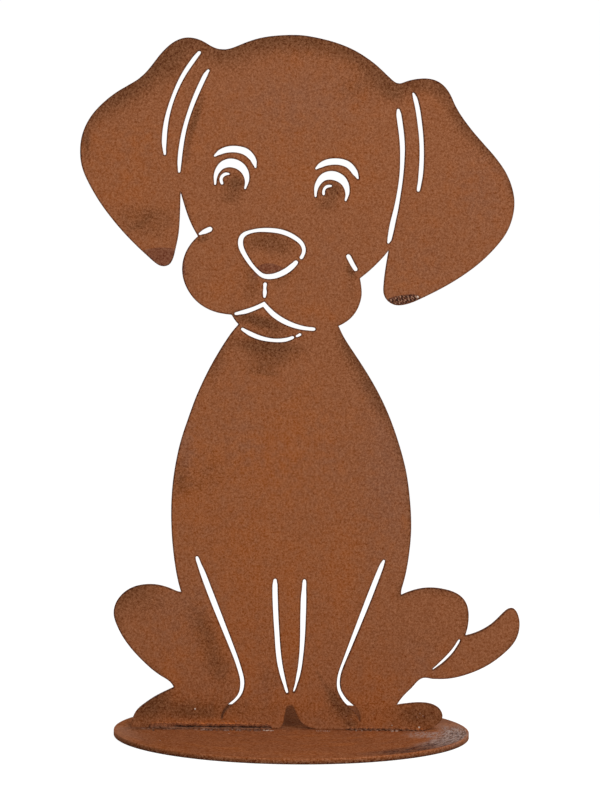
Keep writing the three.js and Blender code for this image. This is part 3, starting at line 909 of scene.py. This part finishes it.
def make_drops(name, centres, radii, normals, pale_and_painted_light):
    """Flattened domes: point = centre + radius * (cos t * side + sin t * normal), with t from the foot to
    the top. All the domes are worked out as one array."""
    normals = np.array(normals, dtype=float)
    helper = np.where(np.abs(normals[:, 2:]) > 0.5, [[1.0, 0, 0]], [[0, 0, 1.0]])
    first = unit(np.cross(helper, normals))
    second = np.cross(normals, first)
    rise = np.linspace(-0.3, math.pi / 2 * 0.82, DOME_RINGS)
    around = np.arange(DOME_STEPS) * 2 * math.pi / DOME_STEPS
    side = np.cos(rise)[None, :, None, None] * (
        np.cos(around)[None, None, :, None] * first[:, None, None, :]
        + np.sin(around)[None, None, :, None] * second[:, None, None, :]
    )
    top = 0.7 * np.sin(rise)[None, :, None, None] * normals[:, None, None, :]
    radii = np.array(radii)[:, None, None, None]
    domes = np.array(centres)[:, None, None, :] + radii * (side + top)
    crown = np.array(centres) + 0.7 * radii[:, 0, 0] * normals
    foot = np.array(centres) - 0.25 * radii[:, 0, 0] * normals
    each = DOME_RINGS * DOME_STEPS
    step = np.arange(DOME_STEPS)
    next_step = (step + 1) % DOME_STEPS
    shell = grid_faces(DOME_RINGS, DOME_STEPS, closed_columns=True)
    number = np.arange(len(crown))[:, None, None]
    quads = (shell[None] + number * each).reshape(-1, 4)
    crown_at = len(crown) * each + number[..., 0]
    foot_at = crown_at + len(crown)
    last = each - DOME_STEPS
    ones = np.ones((1, DOME_STEPS), dtype=int)
    start = number[..., 0] * each
    top_ring = start + last
    crown_fan = np.stack([crown_at * ones, top_ring + step[None], top_ring + next_step[None]], axis=-1)
    foot_fan = np.stack([foot_at * ones, start + next_step[None], start + step[None]], axis=-1)
    points = np.concatenate([domes.reshape(-1, 3), crown, foot])
    marks = {"pale_and_painted_light": np.concatenate([np.repeat(pale_and_painted_light, each), pale_and_painted_light, pale_and_painted_light])}
    return make_piece(name, points, [quads, crown_fan.reshape(-1, 3), foot_fan.reshape(-1, 3)], marks)


# where the drops are: u, v in the picture and the radius in millimetres
SHEET_DROPS = [
    (195, 709, 0.5),
    (420, 713.5, 0.45),
    (423, 716, 0.4),
    (417, 717, 0.3),
    (399, 690, 0.25),
    (386, 639, 0.25),
    (392, 725.5, 0.4),
    (419, 727.5, 0.55),
    (351, 719, 0.3),
    (236, 721, 0.3),
    (172, 716, 0.25),
    (417.6, 297, 0.85),
]
DISC_DROPS = [
    (264, 730.4, 0.6),
    (266.5, 730.9, 0.75),
    (268.6, 730.5, 0.65),
    (271, 731, 0.7),
    (273, 730.8, 0.4),
    (316.5, 731, 0.35),
    (318.6, 731.1, 0.45),
    (320.8, 731.1, 0.5),
    (323, 731.2, 0.5),
    (325.2, 731.2, 0.5),
    (327.4, 731.3, 0.45),
    (329.4, 731.3, 0.35),
    (356, 731, 0.5),
    (362, 731, 0.55),
    (371, 731, 0.4),
    (377, 731, 0.55),
    (392.5, 731.4, 0.9),
    (396.5, 731.4, 0.95),
    (403, 731, 0.5),
    (229, 733.6, 0.4),
    (160, 740.5, 0.35),
    (204, 729.4, 0.55),
    (153.3, 730.4, 0.7),
]
sheet_places = [on_sheet(u, v) for u, v, size in SHEET_DROPS]
disc_places = [on_disc(u, v) for u, v, size in DISC_DROPS]
drop_centres = [(x, SHEET_FRONT, z) for x, z in sheet_places] + [(x, y, DISC_TOP) for x, y in disc_places]
drop_radii = [size * MM for u, v, size in SHEET_DROPS + DISC_DROPS]
drop_normals = [(0, -1, 0)] * len(SHEET_DROPS) + [(0, 0, 1)] * len(DISC_DROPS)
drop_pale = [0.9 if size >= 0.5 else 0.15 for u, v, size in SHEET_DROPS]
drop_pale += [0.6 if 260 < u < 275 else 0.3 for u, v, size in DISC_DROPS]
drop_pale[-1] = -1  # the last drop is black slag
spatter = make_drops("spatter", drop_centres, drop_radii, drop_normals, drop_pale)

# %% The crust on the ear
CRUST_STEPS, CRUST_ACROSS = 110, 40
CRUST_LEFT, CRUST_RIGHT = (388.2, 299.2), (421.0, 297.0)
CRUST_RISE, CRUST_FALL = 3.4, 8.0  # how far the lens bulges over and under its chord, in pixels

lens_along = np.linspace(-1, 1, CRUST_STEPS)[:, None]
lens_across = np.linspace(0, 1, CRUST_ACROSS)[None, :]
swell = np.maximum(1 - lens_along**2, 0) ** 0.6
chord_u = CRUST_LEFT[0] + (CRUST_RIGHT[0] - CRUST_LEFT[0]) * (lens_along + 1) / 2
chord_v = CRUST_LEFT[1] + (CRUST_RIGHT[1] - CRUST_LEFT[1]) * (lens_along + 1) / 2
lens_top = chord_v - CRUST_RISE * swell * (1 + 0.2 * lens_along)
lens_fall = (CRUST_RISE + CRUST_FALL) * swell
# the lens is cut off just short of the ear's edge: the share of each fall that is still on steel
trial_x, trial_z = on_sheet(chord_u + 0 * lens_across, lens_top + lens_fall * lens_across)
trial_depth = steel_depth(np.stack([trial_x.ravel(), trial_z.ravel()], axis=1))[0]
on_steel = (trial_depth > 0.3 * MM).reshape(trial_x.shape).mean(axis=1, keepdims=True)
lens_v = lens_top + lens_fall * on_steel * lens_across
lens_u = np.broadcast_to(chord_u, lens_v.shape)
crust_x, crust_z = on_sheet(lens_u, lens_v)
in_lens = np.minimum(np.sqrt(lens_across * (1 - lens_across)) * 2, 1) * np.minimum(swell * 1.6, 1)
lump_draw = np.random.default_rng(5)
crust_lumps = np.zeros(crust_x.shape)
for length in (0.0029, 0.0024, 0.002, 0.0017, 0.0014, 0.0012):
    heading, phase = lump_draw.uniform(0, 2 * math.pi, 2)
    slanting = crust_x * math.cos(heading) + crust_z * math.sin(heading)
    crust_lumps += np.sin(2 * math.pi * slanting / length + phase) / 1.9
crust_height = in_lens**0.5 * (0.34 + 0.13 * np.clip(crust_lumps, -1.6, 1.6)) * MM
crust_top = np.stack([crust_x, SHEET_FRONT - np.maximum(crust_height, 0.02 * MM), crust_z], axis=-1)
crust_under = np.stack([crust_x, np.full(crust_x.shape, SHEET_FRONT + 0.2 * MM), crust_z], axis=-1)
crust_loop = np.concatenate([crust_top, crust_under[:, ::-1]], axis=1)
crust_columns = 2 * CRUST_ACROSS
crust_quads = grid_faces(CRUST_STEPS, crust_columns, closed_columns=True)
crust_ends = np.stack([np.arange(CRUST_ACROSS - 1), np.arange(1, CRUST_ACROSS)], axis=1)
mirror_ends = crust_columns - 1 - crust_ends
start_cap = np.concatenate([crust_ends, mirror_ends[:, ::-1]], axis=1)
end_cap = start_cap[:, ::-1] + (CRUST_STEPS - 1) * crust_columns
crust_crest = np.concatenate([crust_lumps * in_lens, np.zeros(crust_x.shape)], axis=1).ravel()
crust = make_piece(
    "ear_crust", crust_loop.reshape(-1, 3), [crust_quads, start_cap, end_cap], {"crest": crust_crest}
)

# %% [markdown]
# ## The rust
# Rust is never one colour. Three sizes of unevenness show: broad warm and dull places, a mottle a few
# millimetres wide, and a grain finer than a millimetre. They are worked out once, in a node group that
# every rusted material uses with its own colours and scale. The grain is laid on last, over the smudges
# too, by a second group.

# %% Helpers for nodes
def add_node(tree, kind, sockets=None, **settings):
    """A node with its settings and its sockets: a socket value that is itself a socket becomes a link."""
    made = tree.nodes.new(kind)
    for key, value in settings.items():
        setattr(made, key, value)
    for key, value in (sockets or {}).items():
        if isinstance(value, bpy.types.NodeSocket):
            tree.links.new(value, made.inputs[key])
        else:
            made.inputs[key].default_value = value
    return made


def maths(tree, operation, first, second=0.0, third=0.0, clamp=False):
    """One step of arithmetic on two or three numbers or sockets."""
    node = add_node(tree, "ShaderNodeMath", {0: first, 1: second, 2: third}, operation=operation)
    node.use_clamp = clamp
    return node.outputs[0]


def noise(tree, vector, scale, detail=3.0, rough=0.5, warp=0.0):
    """A noise texture's value, with scale in waves per metre."""
    sockets = {"Vector": vector, "Scale": scale, "Detail": detail, "Roughness": rough, "Distortion": warp}
    return add_node(tree, "ShaderNodeTexNoise", sockets).outputs["Fac"]


def ramp(tree, value, low, high, out_low=0.0, out_high=1.0):
    """The value spread smoothly from low..high to out_low..out_high, and held beyond them."""
    sockets = {"Value": value, "From Min": low, "From Max": high, "To Min": out_low, "To Max": out_high}
    return add_node(tree, "ShaderNodeMapRange", sockets, interpolation_type="SMOOTHSTEP").outputs["Result"]


def blend_colours(tree, share, first, second):
    """The first colour where share is 0 and the second where it is 1."""
    node = add_node(tree, "ShaderNodeMix", {"Factor": share}, data_type="RGBA")
    for socket, value in ((node.inputs[6], first), (node.inputs[7], second)):
        if isinstance(value, bpy.types.NodeSocket):
            tree.links.new(value, socket)
        else:
            socket.default_value = (*value, 1)
    return node.outputs[2]


def lay_over(tree, colour, share, strength, other):
    """The colour with the other laid over it: strength of it where share is 1, none where share is 0."""
    return blend_colours(tree, maths(tree, "MULTIPLY", share, strength), colour, other)


def vector_maths(tree, operation, sockets, output="Vector"):
    """One step of arithmetic on places or colours."""
    return add_node(tree, "ShaderNodeVectorMath", sockets, operation=operation).outputs[output]


def mark(tree, name):
    """The number that a piece's points carry under that name."""
    node = add_node(tree, "ShaderNodeAttribute", attribute_name=name)
    return node.outputs["Fac"]


def new_group(name, inputs, outputs):
    """An empty node group with named sockets. Returns its tree, its inputs by name and its output node."""
    tree = bpy.data.node_groups.new(name, "ShaderNodeTree")
    for key, kind, value in inputs:
        socket = tree.interface.new_socket(key, in_out="INPUT", socket_type=kind)
        if value is not None:
            socket.default_value = value
    for key, kind in outputs:
        tree.interface.new_socket(key, in_out="OUTPUT", socket_type=kind)
    return tree, tree.nodes.new("NodeGroupInput").outputs, tree.nodes.new("NodeGroupOutput")


def use_group(tree, group, sockets):
    """The group placed in a material with the given values."""
    node = tree.nodes.new("ShaderNodeGroup")
    node.node_tree = group
    for key, value in sockets.items():
        if isinstance(value, bpy.types.NodeSocket):
            tree.links.new(value, node.inputs[key])
        elif isinstance(value, tuple):
            node.inputs[key].default_value = (*value, 1)
        else:
            node.inputs[key].default_value = value
    return node.outputs


def steel(red, green, blue):
    """A colour given as a painter reads it from a screen, 0 to 255, turned into light by the usual curve:
    ((c + 0.055) / 1.055) ^ 2.4."""
    shares = np.array([red, green, blue]) / 255
    return tuple(float(c) for c in ((shares + 0.055) / 1.055) ** 2.4)


# %% The rust group
rust_group, rust_in, rust_out = new_group(
    "rust_mottle",
    [
        ("Place", "NodeSocketVector", None),
        ("Mottle waves", "NodeSocketFloat", 170.0),
        ("Grain waves", "NodeSocketFloat", 820.0),
        ("Brown", "NodeSocketColor", None),
        ("Warm", "NodeSocketColor", None),
        ("Dull", "NodeSocketColor", None),
        ("Warmth", "NodeSocketFloat", 0.0),
        ("Dullness", "NodeSocketFloat", 0.0),
    ],
    [("Colour", "NodeSocketColor"), ("Grain", "NodeSocketFloat"), ("Height", "NodeSocketFloat")],
)
place = rust_in["Place"]
broad = noise(rust_group, place, 22.0, 2.0, 0.5, 0.4)
mottle = noise(rust_group, place, rust_in["Mottle waves"], 3.0, 0.6)
grain = noise(rust_group, place, rust_in["Grain waves"], 2.0, 0.6)
fine = noise(rust_group, place, maths(rust_group, "MULTIPLY", rust_in["Grain waves"], 2.3), 2.0, 0.6)
warm_share = maths(rust_group, "MULTIPLY_ADD", broad, 0.9, -0.33)
warm_share = maths(rust_group, "ADD", warm_share, maths(rust_group, "MULTIPLY", rust_in["Warmth"], 0.75))
warm_share = maths(rust_group, "ADD", warm_share, maths(rust_group, "MULTIPLY_ADD", mottle, 1.1, -0.55))
dull_share = maths(rust_group, "MULTIPLY_ADD", mottle, -0.8, 0.44)
dull_share = maths(rust_group, "ADD", dull_share, maths(rust_group, "MULTIPLY", rust_in["Dullness"], 0.8))
colour = blend_colours(rust_group, ramp(rust_group, warm_share, 0.0, 0.9), rust_in["Brown"], rust_in["Warm"])
colour = blend_colours(rust_group, ramp(rust_group, dull_share, 0.05, 0.95), colour, rust_in["Dull"])
speck = maths(rust_group, "MULTIPLY_ADD", grain, 0.5, maths(rust_group, "MULTIPLY", fine, 0.5))
height = maths(rust_group, "MULTIPLY_ADD", mottle, 0.5, maths(rust_group, "MULTIPLY", speck, 0.5))
rust_group.links.new(colour, rust_out.inputs["Colour"])
rust_group.links.new(speck, rust_out.inputs["Grain"])
rust_group.links.new(height, rust_out.inputs["Height"])

# %% The grain group
grain_group, grain_in, grain_out = new_group(
    "rust_grain",
    [
        ("Colour", "NodeSocketColor", None),
        ("Grain", "NodeSocketFloat", 0.5),
        ("Depth", "NodeSocketFloat", 1.0),
    ],
    [("Colour", "NodeSocketColor")],
)
GRAIN_LIGHT = (0.49, 0.27, 0.16)  # what a speck adds to the colour, or takes from it
GRAIN_DARKEST = (0.008, 0.004, 0.003)
lean = maths(grain_group, "SUBTRACT", grain_in["Grain"], 0.5)
lean = maths(grain_group, "MULTIPLY", lean, grain_in["Depth"])
speck_light = vector_maths(grain_group, "SCALE", {0: GRAIN_LIGHT, "Scale": lean})
specked = vector_maths(grain_group, "ADD", {0: grain_in["Colour"], 1: speck_light})
specked = vector_maths(grain_group, "MAXIMUM", {0: specked, 1: GRAIN_DARKEST})
grain_group.links.new(specked, grain_out.inputs["Colour"])

# %% [markdown]
# A smudge doesn't fade like paint: it breaks up into dots. The stipple group adds the grain to the
# smudge's number before it is cut off, so that pale specks show through it and its edge dissolves.

# %% The stipple group
stipple_group, stipple_in, stipple_out = new_group(
    "stippled_smudge",
    [
        ("Strength", "NodeSocketFloat", 0.0),
        ("Grain", "NodeSocketFloat", 0.5),
        ("Break-up", "NodeSocketFloat", 0.6),
    ],
    [("Mask", "NodeSocketFloat")],
)
centred = maths(stipple_group, "SUBTRACT", stipple_in["Grain"], 0.5)
broken = maths(stipple_group, "MULTIPLY_ADD", centred, stipple_in["Break-up"], stipple_in["Strength"])
stipple_group.links.new(ramp(stipple_group, broken, 0.08, 0.95), stipple_out.inputs["Mask"])


# %% [markdown]
# ### The sheet's finish
# Brown rust with warm and dull places, stippled smudges, the two dipped patches, and a dark burnt line along
# every cut, with painted shade making the line darker on one side. The laser left fine upright grooves on
# the cut walls: a noise that is stretched along the sheet's thickness makes them.

# %% A material with its shader
def new_material(name):
    """A material, its tree, its shader and the piece's own coordinates."""
    material = bpy.data.materials.new(name)
    material.use_nodes = True
    tree = material.node_tree
    shader = tree.nodes["Principled BSDF"]
    place = add_node(tree, "ShaderNodeTexCoord").outputs["Object"]
    return material, tree, shader, place


def set_surface(tree, shader, colour, roughness, specular, height, strength, distance):
    """Colour and roughness go to the shader as they are, and the height as a bump of the given strength,
    with its distance in metres. How much the surface mirrors is one number."""
    tree.links.new(colour, shader.inputs["Base Color"])
    tree.links.new(roughness, shader.inputs["Roughness"])
    shader.inputs["Specular IOR Level"].default_value = specular
    bump = add_node(tree, "ShaderNodeBump", {"Height": height, "Strength": strength, "Distance": distance})
    tree.links.new(bump.outputs["Normal"], shader.inputs["Normal"])


def stippled(tree, strength, grain, break_up):
    """The mark of that name as a smudge that breaks up into dots."""
    sockets = {"Strength": mark(tree, strength), "Grain": grain, "Break-up": break_up}
    return use_group(tree, stipple_group, sockets)["Mask"]


def grained(tree, colour, grain, depth):
    """The colour with the grain laid on it, so deep."""
    return use_group(tree, grain_group, {"Colour": colour, "Grain": grain, "Depth": depth})["Colour"]


rusted_sheet, tree, shader, place = new_material("rusted_sheet")
rust = use_group(
    tree,
    rust_group,
    {
        "Place": place,
        "Brown": steel(140, 85, 53),
        "Warm": steel(148, 84, 44),
        "Dull": steel(134, 86, 61),
        "Warmth": mark(tree, "warm"),
        "Dullness": mark(tree, "dull"),
    },
)
smudged = stippled(tree, "smudge", rust["Grain"], -0.75)
colour = lay_over(tree, rust["Colour"], smudged, 0.82, steel(96, 58, 33))
dip = ramp(tree, mark(tree, "dipped"), -0.35, 0.35)
colour = lay_over(tree, colour, dip, 0.6, steel(98, 56, 44))
cut_gap = mark(tree, "cut_gap")
near_cut = ramp(tree, cut_gap, 0.4, 1.05, 1.0, 0.0)
near_cut = maths(tree, "MULTIPLY", near_cut, ramp(tree, cut_gap, 0.05, 0.3, 0.6, 1.0))
# a burnt line along every cut, with painted shade darkening it on one side
burn_and_shade = maths(tree, "MULTIPLY", near_cut, mark(tree, "burn_and_shade"))
colour = blend_colours(tree, burn_and_shade, colour, steel(78, 42, 20))
colour = grained(tree, colour, rust["Grain"], 1.25)
grooves = add_node(tree, "ShaderNodeMapping", {"Vector": place, "Scale": (1, 0.04, 1)}).outputs[0]
groove_lines = noise(tree, grooves, 2600.0, 2.0)
on_wall = ramp(tree, cut_gap, 0.0, 0.06, 1.0, 0.0)
height = maths(tree, "ADD", rust["Height"], maths(tree, "MULTIPLY", on_wall, groove_lines))
roughness = ramp(tree, rust["Grain"], 0.3, 0.7, 0.72, 0.9)
set_surface(tree, shader, colour, roughness, 0.1, height, 0.35, 0.25 * MM)
dog.data.materials.append(rusted_sheet)

# %% [markdown]
# ### The disc's finish
# The same rust, with two marks of use: faint rings, and a patch near the rim where the rust is rubbed down
# to grey steel in streaks. Both follow the disc round, so their noise is laid out along the ring: it changes
# slowly round the disc and quickly from ring to ring. Stains with the sheet's painted shadow, pale places
# with painted light, slag, a painted glint on the upper and painted shade on the lower edge of the rim, and
# a few short scratches are laid over them.

# %% Ring coordinates, and the disc's material
rusted_disc, tree, shader, place = new_material("rusted_disc")
flat_place = vector_maths(tree, "MULTIPLY", {0: place, 1: (1, 1, 0)})
ring_radius = vector_maths(tree, "LENGTH", {0: flat_place}, "Value")
ring_way = vector_maths(tree, "NORMALIZE", {0: flat_place})
ring_short = vector_maths(tree, "SCALE", {0: ring_way, "Scale": 0.012})
ring_lift = add_node(tree, "ShaderNodeCombineXYZ", {"Z": ring_radius}).outputs[0]
ring_place = vector_maths(tree, "ADD", {0: ring_short, 1: ring_lift})
rings_fine = noise(tree, ring_place, 420.0, 3.0, 0.6)
streaks = noise(tree, ring_place, 950.0, 3.0, 0.65)
rings_broad = noise(tree, ring_place, 120.0, 2.0, 0.5)
rust = use_group(
    tree,
    rust_group,
    {
        "Place": place,
        "Brown": steel(138, 81, 49),
        "Warm": steel(150, 87, 48),
        "Dull": steel(126, 76, 49),
        "Warmth": ramp(tree, rings_broad, 0.45, 0.75, 0.0, 0.6),
        "Dullness": ramp(tree, rings_fine, 0.4, 0.75, 0.0, 0.6),
        "Mottle waves": 120.0,
    },
)
heated = stippled(tree, "heated", rust["Grain"], 0.7)
colour = lay_over(tree, rust["Colour"], heated, 0.5, steel(98, 54, 32))
# painted shadow of the sheet behind it, together with a real stain in front of its left end
stain_and_shadow = ramp(tree, mark(tree, "stain_and_shadow"), 0.1, 0.9)
colour = lay_over(tree, colour, stain_and_shadow, 0.62, steel(96, 56, 33))
spots = ramp(tree, maths(tree, "MULTIPLY_ADD", streaks, -1.0, 1.0), 0.38, 0.6, 0.5, 1.0)
spotted = maths(tree, "MULTIPLY", mark(tree, "spotted"), spots)
colour = lay_over(tree, colour, spotted, 0.9, steel(74, 50, 43))
rubbed = maths(tree, "MULTIPLY", mark(tree, "rubbed"), ramp(tree, streaks, 0.42, 0.6, 0.15, 0.95))
colour = blend_colours(tree, rubbed, colour, steel(160, 139, 130))
# pale places at the left rim, and painted light on the far right behind the foot
colour = lay_over(tree, colour, mark(tree, "pale_and_painted_light"), 0.6, steel(168, 126, 104))
slag_place = add_node(tree, "ShaderNodeMapping", {"Vector": place, "Scale": (1, 0.3, 1)}).outputs[0]
slag_tone = noise(tree, slag_place, 560.0, 2.0, 0.7)
slag_share = maths(tree, "MULTIPLY", mark(tree, "slag"), ramp(tree, slag_tone, 0.4, 0.5, 0.3, 1.0))
slag_colour = blend_colours(tree, ramp(tree, slag_tone, 0.45, 0.62), steel(74, 42, 30), steel(146, 112, 96))
colour = blend_colours(tree, slag_share, colour, slag_colour)
# painted glint on the upper edge of the rim
colour = lay_over(tree, colour, mark(tree, "high_rim_glint"), 0.4, steel(150, 91, 57))
# painted shade on the lower edge of the rim
colour = lay_over(tree, colour, mark(tree, "low_rim_shade"), 0.75, steel(60, 38, 26))
scratch_place = add_node(tree, "ShaderNodeMapping", {"Vector": place, "Scale": (14, 420, 0)}).outputs[0]
scratches = ramp(tree, noise(tree, scratch_place, 1.0, 1.0), 0.71, 0.75)
colour = lay_over(tree, colour, scratches, 0.5, steel(196, 132, 92))
colour = grained(tree, colour, rust["Grain"], 1.6)
roughness = ramp(tree, rust["Grain"], 0.3, 0.7, 0.75, 0.95)
height = maths(tree, "ADD", rust["Height"], maths(tree, "MULTIPLY", rings_fine, 0.6))
height = maths(tree, "MULTIPLY_ADD", slag_share, 2.0, height)
set_surface(tree, shader, colour, roughness, 0.01, height, 0.3, 0.2 * MM)
disc.data.materials.append(rusted_disc)

# %% [markdown]
# ### The welds' finish
# A weld rusts unevenly: its foot on the disc stays greyish and its foot on the sheet turns orange. The
# groove between them is painted nearly black as shade, and over it runs a painted highlight, a paler
# orange-brown ledge.

# %% The welds' material
rusted_weld, tree, shader, place = new_material("rusted_weld")
low_foot = mark(tree, "low_foot")
orange_places = ramp(tree, noise(tree, place, 75.0, 1.0), 0.5, 0.62)
orange_places = maths(tree, "MULTIPLY", orange_places, ramp(tree, low_foot, 0.1, 0.5, 1.0, 0.0))
rust = use_group(
    tree,
    rust_group,
    {
        "Place": place,
        "Brown": steel(118, 68, 42),
        "Warm": steel(184, 102, 48),
        "Dull": steel(104, 68, 50),
        "Warmth": orange_places,
        "Dullness": ramp(tree, low_foot, 0.5, 0.95, 0.0, 0.8),
        "Mottle waves": 420.0,
        "Grain waves": 1400.0,
    },
)
grey_foot = ramp(tree, low_foot, 0.66, 0.95)
grey_foot = maths(tree, "MULTIPLY", grey_foot, ramp(tree, noise(tree, place, 320.0, 2.0), 0.44, 0.6))
colour = lay_over(tree, rust["Colour"], grey_foot, 0.7, steel(126, 88, 68))
# painted shade: the groove is painted nearly black
groove_shade = maths(tree, "MULTIPLY", mark(tree, "groove_shade"), ramp(tree, rust["Grain"], 0.25, 0.6, 1.0, 0.85))
colour = blend_colours(tree, ramp(tree, groove_shade, 0.42, 0.74, 0.0, 0.94), colour, steel(44, 22, 14))
crest = ramp(tree, mark(tree, "crest"), 0.0, 0.4, 0.6, 0.0)
colour = lay_over(tree, colour, crest, 0.5, steel(80, 46, 32))
# painted highlight: a paler orange-brown line along the upper part of the bead
ledge_highlight = ramp(tree, low_foot, 0.28, 0.4, 0.75, 0.0)
ledge_highlight = maths(tree, "MULTIPLY", ledge_highlight, ramp(tree, rust["Grain"], 0.4, 0.55))
colour = blend_colours(tree, ledge_highlight, colour, steel(176, 106, 58))
step_down = ramp(tree, low_foot, 0.3, 0.42, 0.0, 0.4)
step_down = maths(tree, "MULTIPLY", step_down, ramp(tree, low_foot, 0.46, 0.56, 1.0, 0.0))
colour = blend_colours(tree, step_down, colour, steel(88, 46, 30))
colour = grained(tree, colour, rust["Grain"], 1.3)
roughness = ramp(tree, rust["Grain"], 0.3, 0.7, 0.6, 0.85)
set_surface(tree, shader, colour, roughness, 0.1, rust["Height"], 0.5, 0.3 * MM)
for bead in beads.values():
    bead.data.materials.append(rusted_weld)

# %% [markdown]
# The spatter froze bright and has hardly rusted, but for one drop of black slag. The crust is dark slag
# with pale grains in it.

# %% Spatter and crust
pale_drops, tree, shader, place = new_material("pale_drops")
drop_tone = noise(tree, place, 700.0, 2.0, 0.6)
uneven = maths(tree, "SUBTRACT", drop_tone, 0.5)
pale_share = maths(tree, "MULTIPLY_ADD", uneven, 1.6, mark(tree, "pale_and_painted_light"), clamp=True)
colour = blend_colours(tree, pale_share, steel(126, 80, 56), steel(206, 184, 168))
black_slag = ramp(tree, mark(tree, "pale_and_painted_light"), -1.0, -0.5, 1.0, 0.0)
colour = blend_colours(tree, black_slag, colour, steel(22, 13, 10))
roughness = ramp(tree, drop_tone, 0.3, 0.7, 0.35, 0.6)
set_surface(tree, shader, colour, roughness, 0.3, drop_tone, 0.3, 0.1 * MM)
spatter.data.materials.append(pale_drops)

slag_crust, tree, shader, place = new_material("slag_crust")
rust = use_group(
    tree,
    rust_group,
    {
        "Place": place,
        "Brown": steel(92, 50, 34),
        "Warm": steel(124, 78, 44),
        "Dull": steel(80, 46, 36),
        "Mottle waves": 500.0,
        "Grain waves": 1500.0,
    },
)
hollows = ramp(tree, mark(tree, "crest"), -0.9, 0.1, 0.95, 0.0)
colour = blend_colours(tree, hollows, rust["Colour"], steel(46, 20, 13))
pale_grains = ramp(tree, mark(tree, "crest"), 0.25, 1.3, 0.0, 0.8)
colour = blend_colours(tree, pale_grains, colour, steel(164, 128, 106))
colour = grained(tree, colour, rust["Grain"], 1.5)
roughness = ramp(tree, rust["Grain"], 0.3, 0.7, 0.6, 0.85)
set_surface(tree, shader, colour, roughness, 0.1, rust["Height"], 0.6, 0.3 * MM)
crust.data.materials.append(slag_crust)

# %% [markdown]
# ## Putting the pieces in their places
# Each new piece rides on the one rigid body and stands for the imported node that it was worked out from.

# %% Bodies, slots and replaced nodes
PLACES = [
    (dog, "rusted_sheet", "dog_silhouette"),
    (disc, "rusted_disc", "base_disc"),
    *((bead, "rusted_weld", "weld_" + where) for where, bead in beads.items()),
    (spatter, "rusted_weld", None),
    (crust, "rusted_sheet", None),
]
for piece, slot_name, node_name in PLACES:
    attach(piece, "root")
    if node_name:
        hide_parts(node_name)
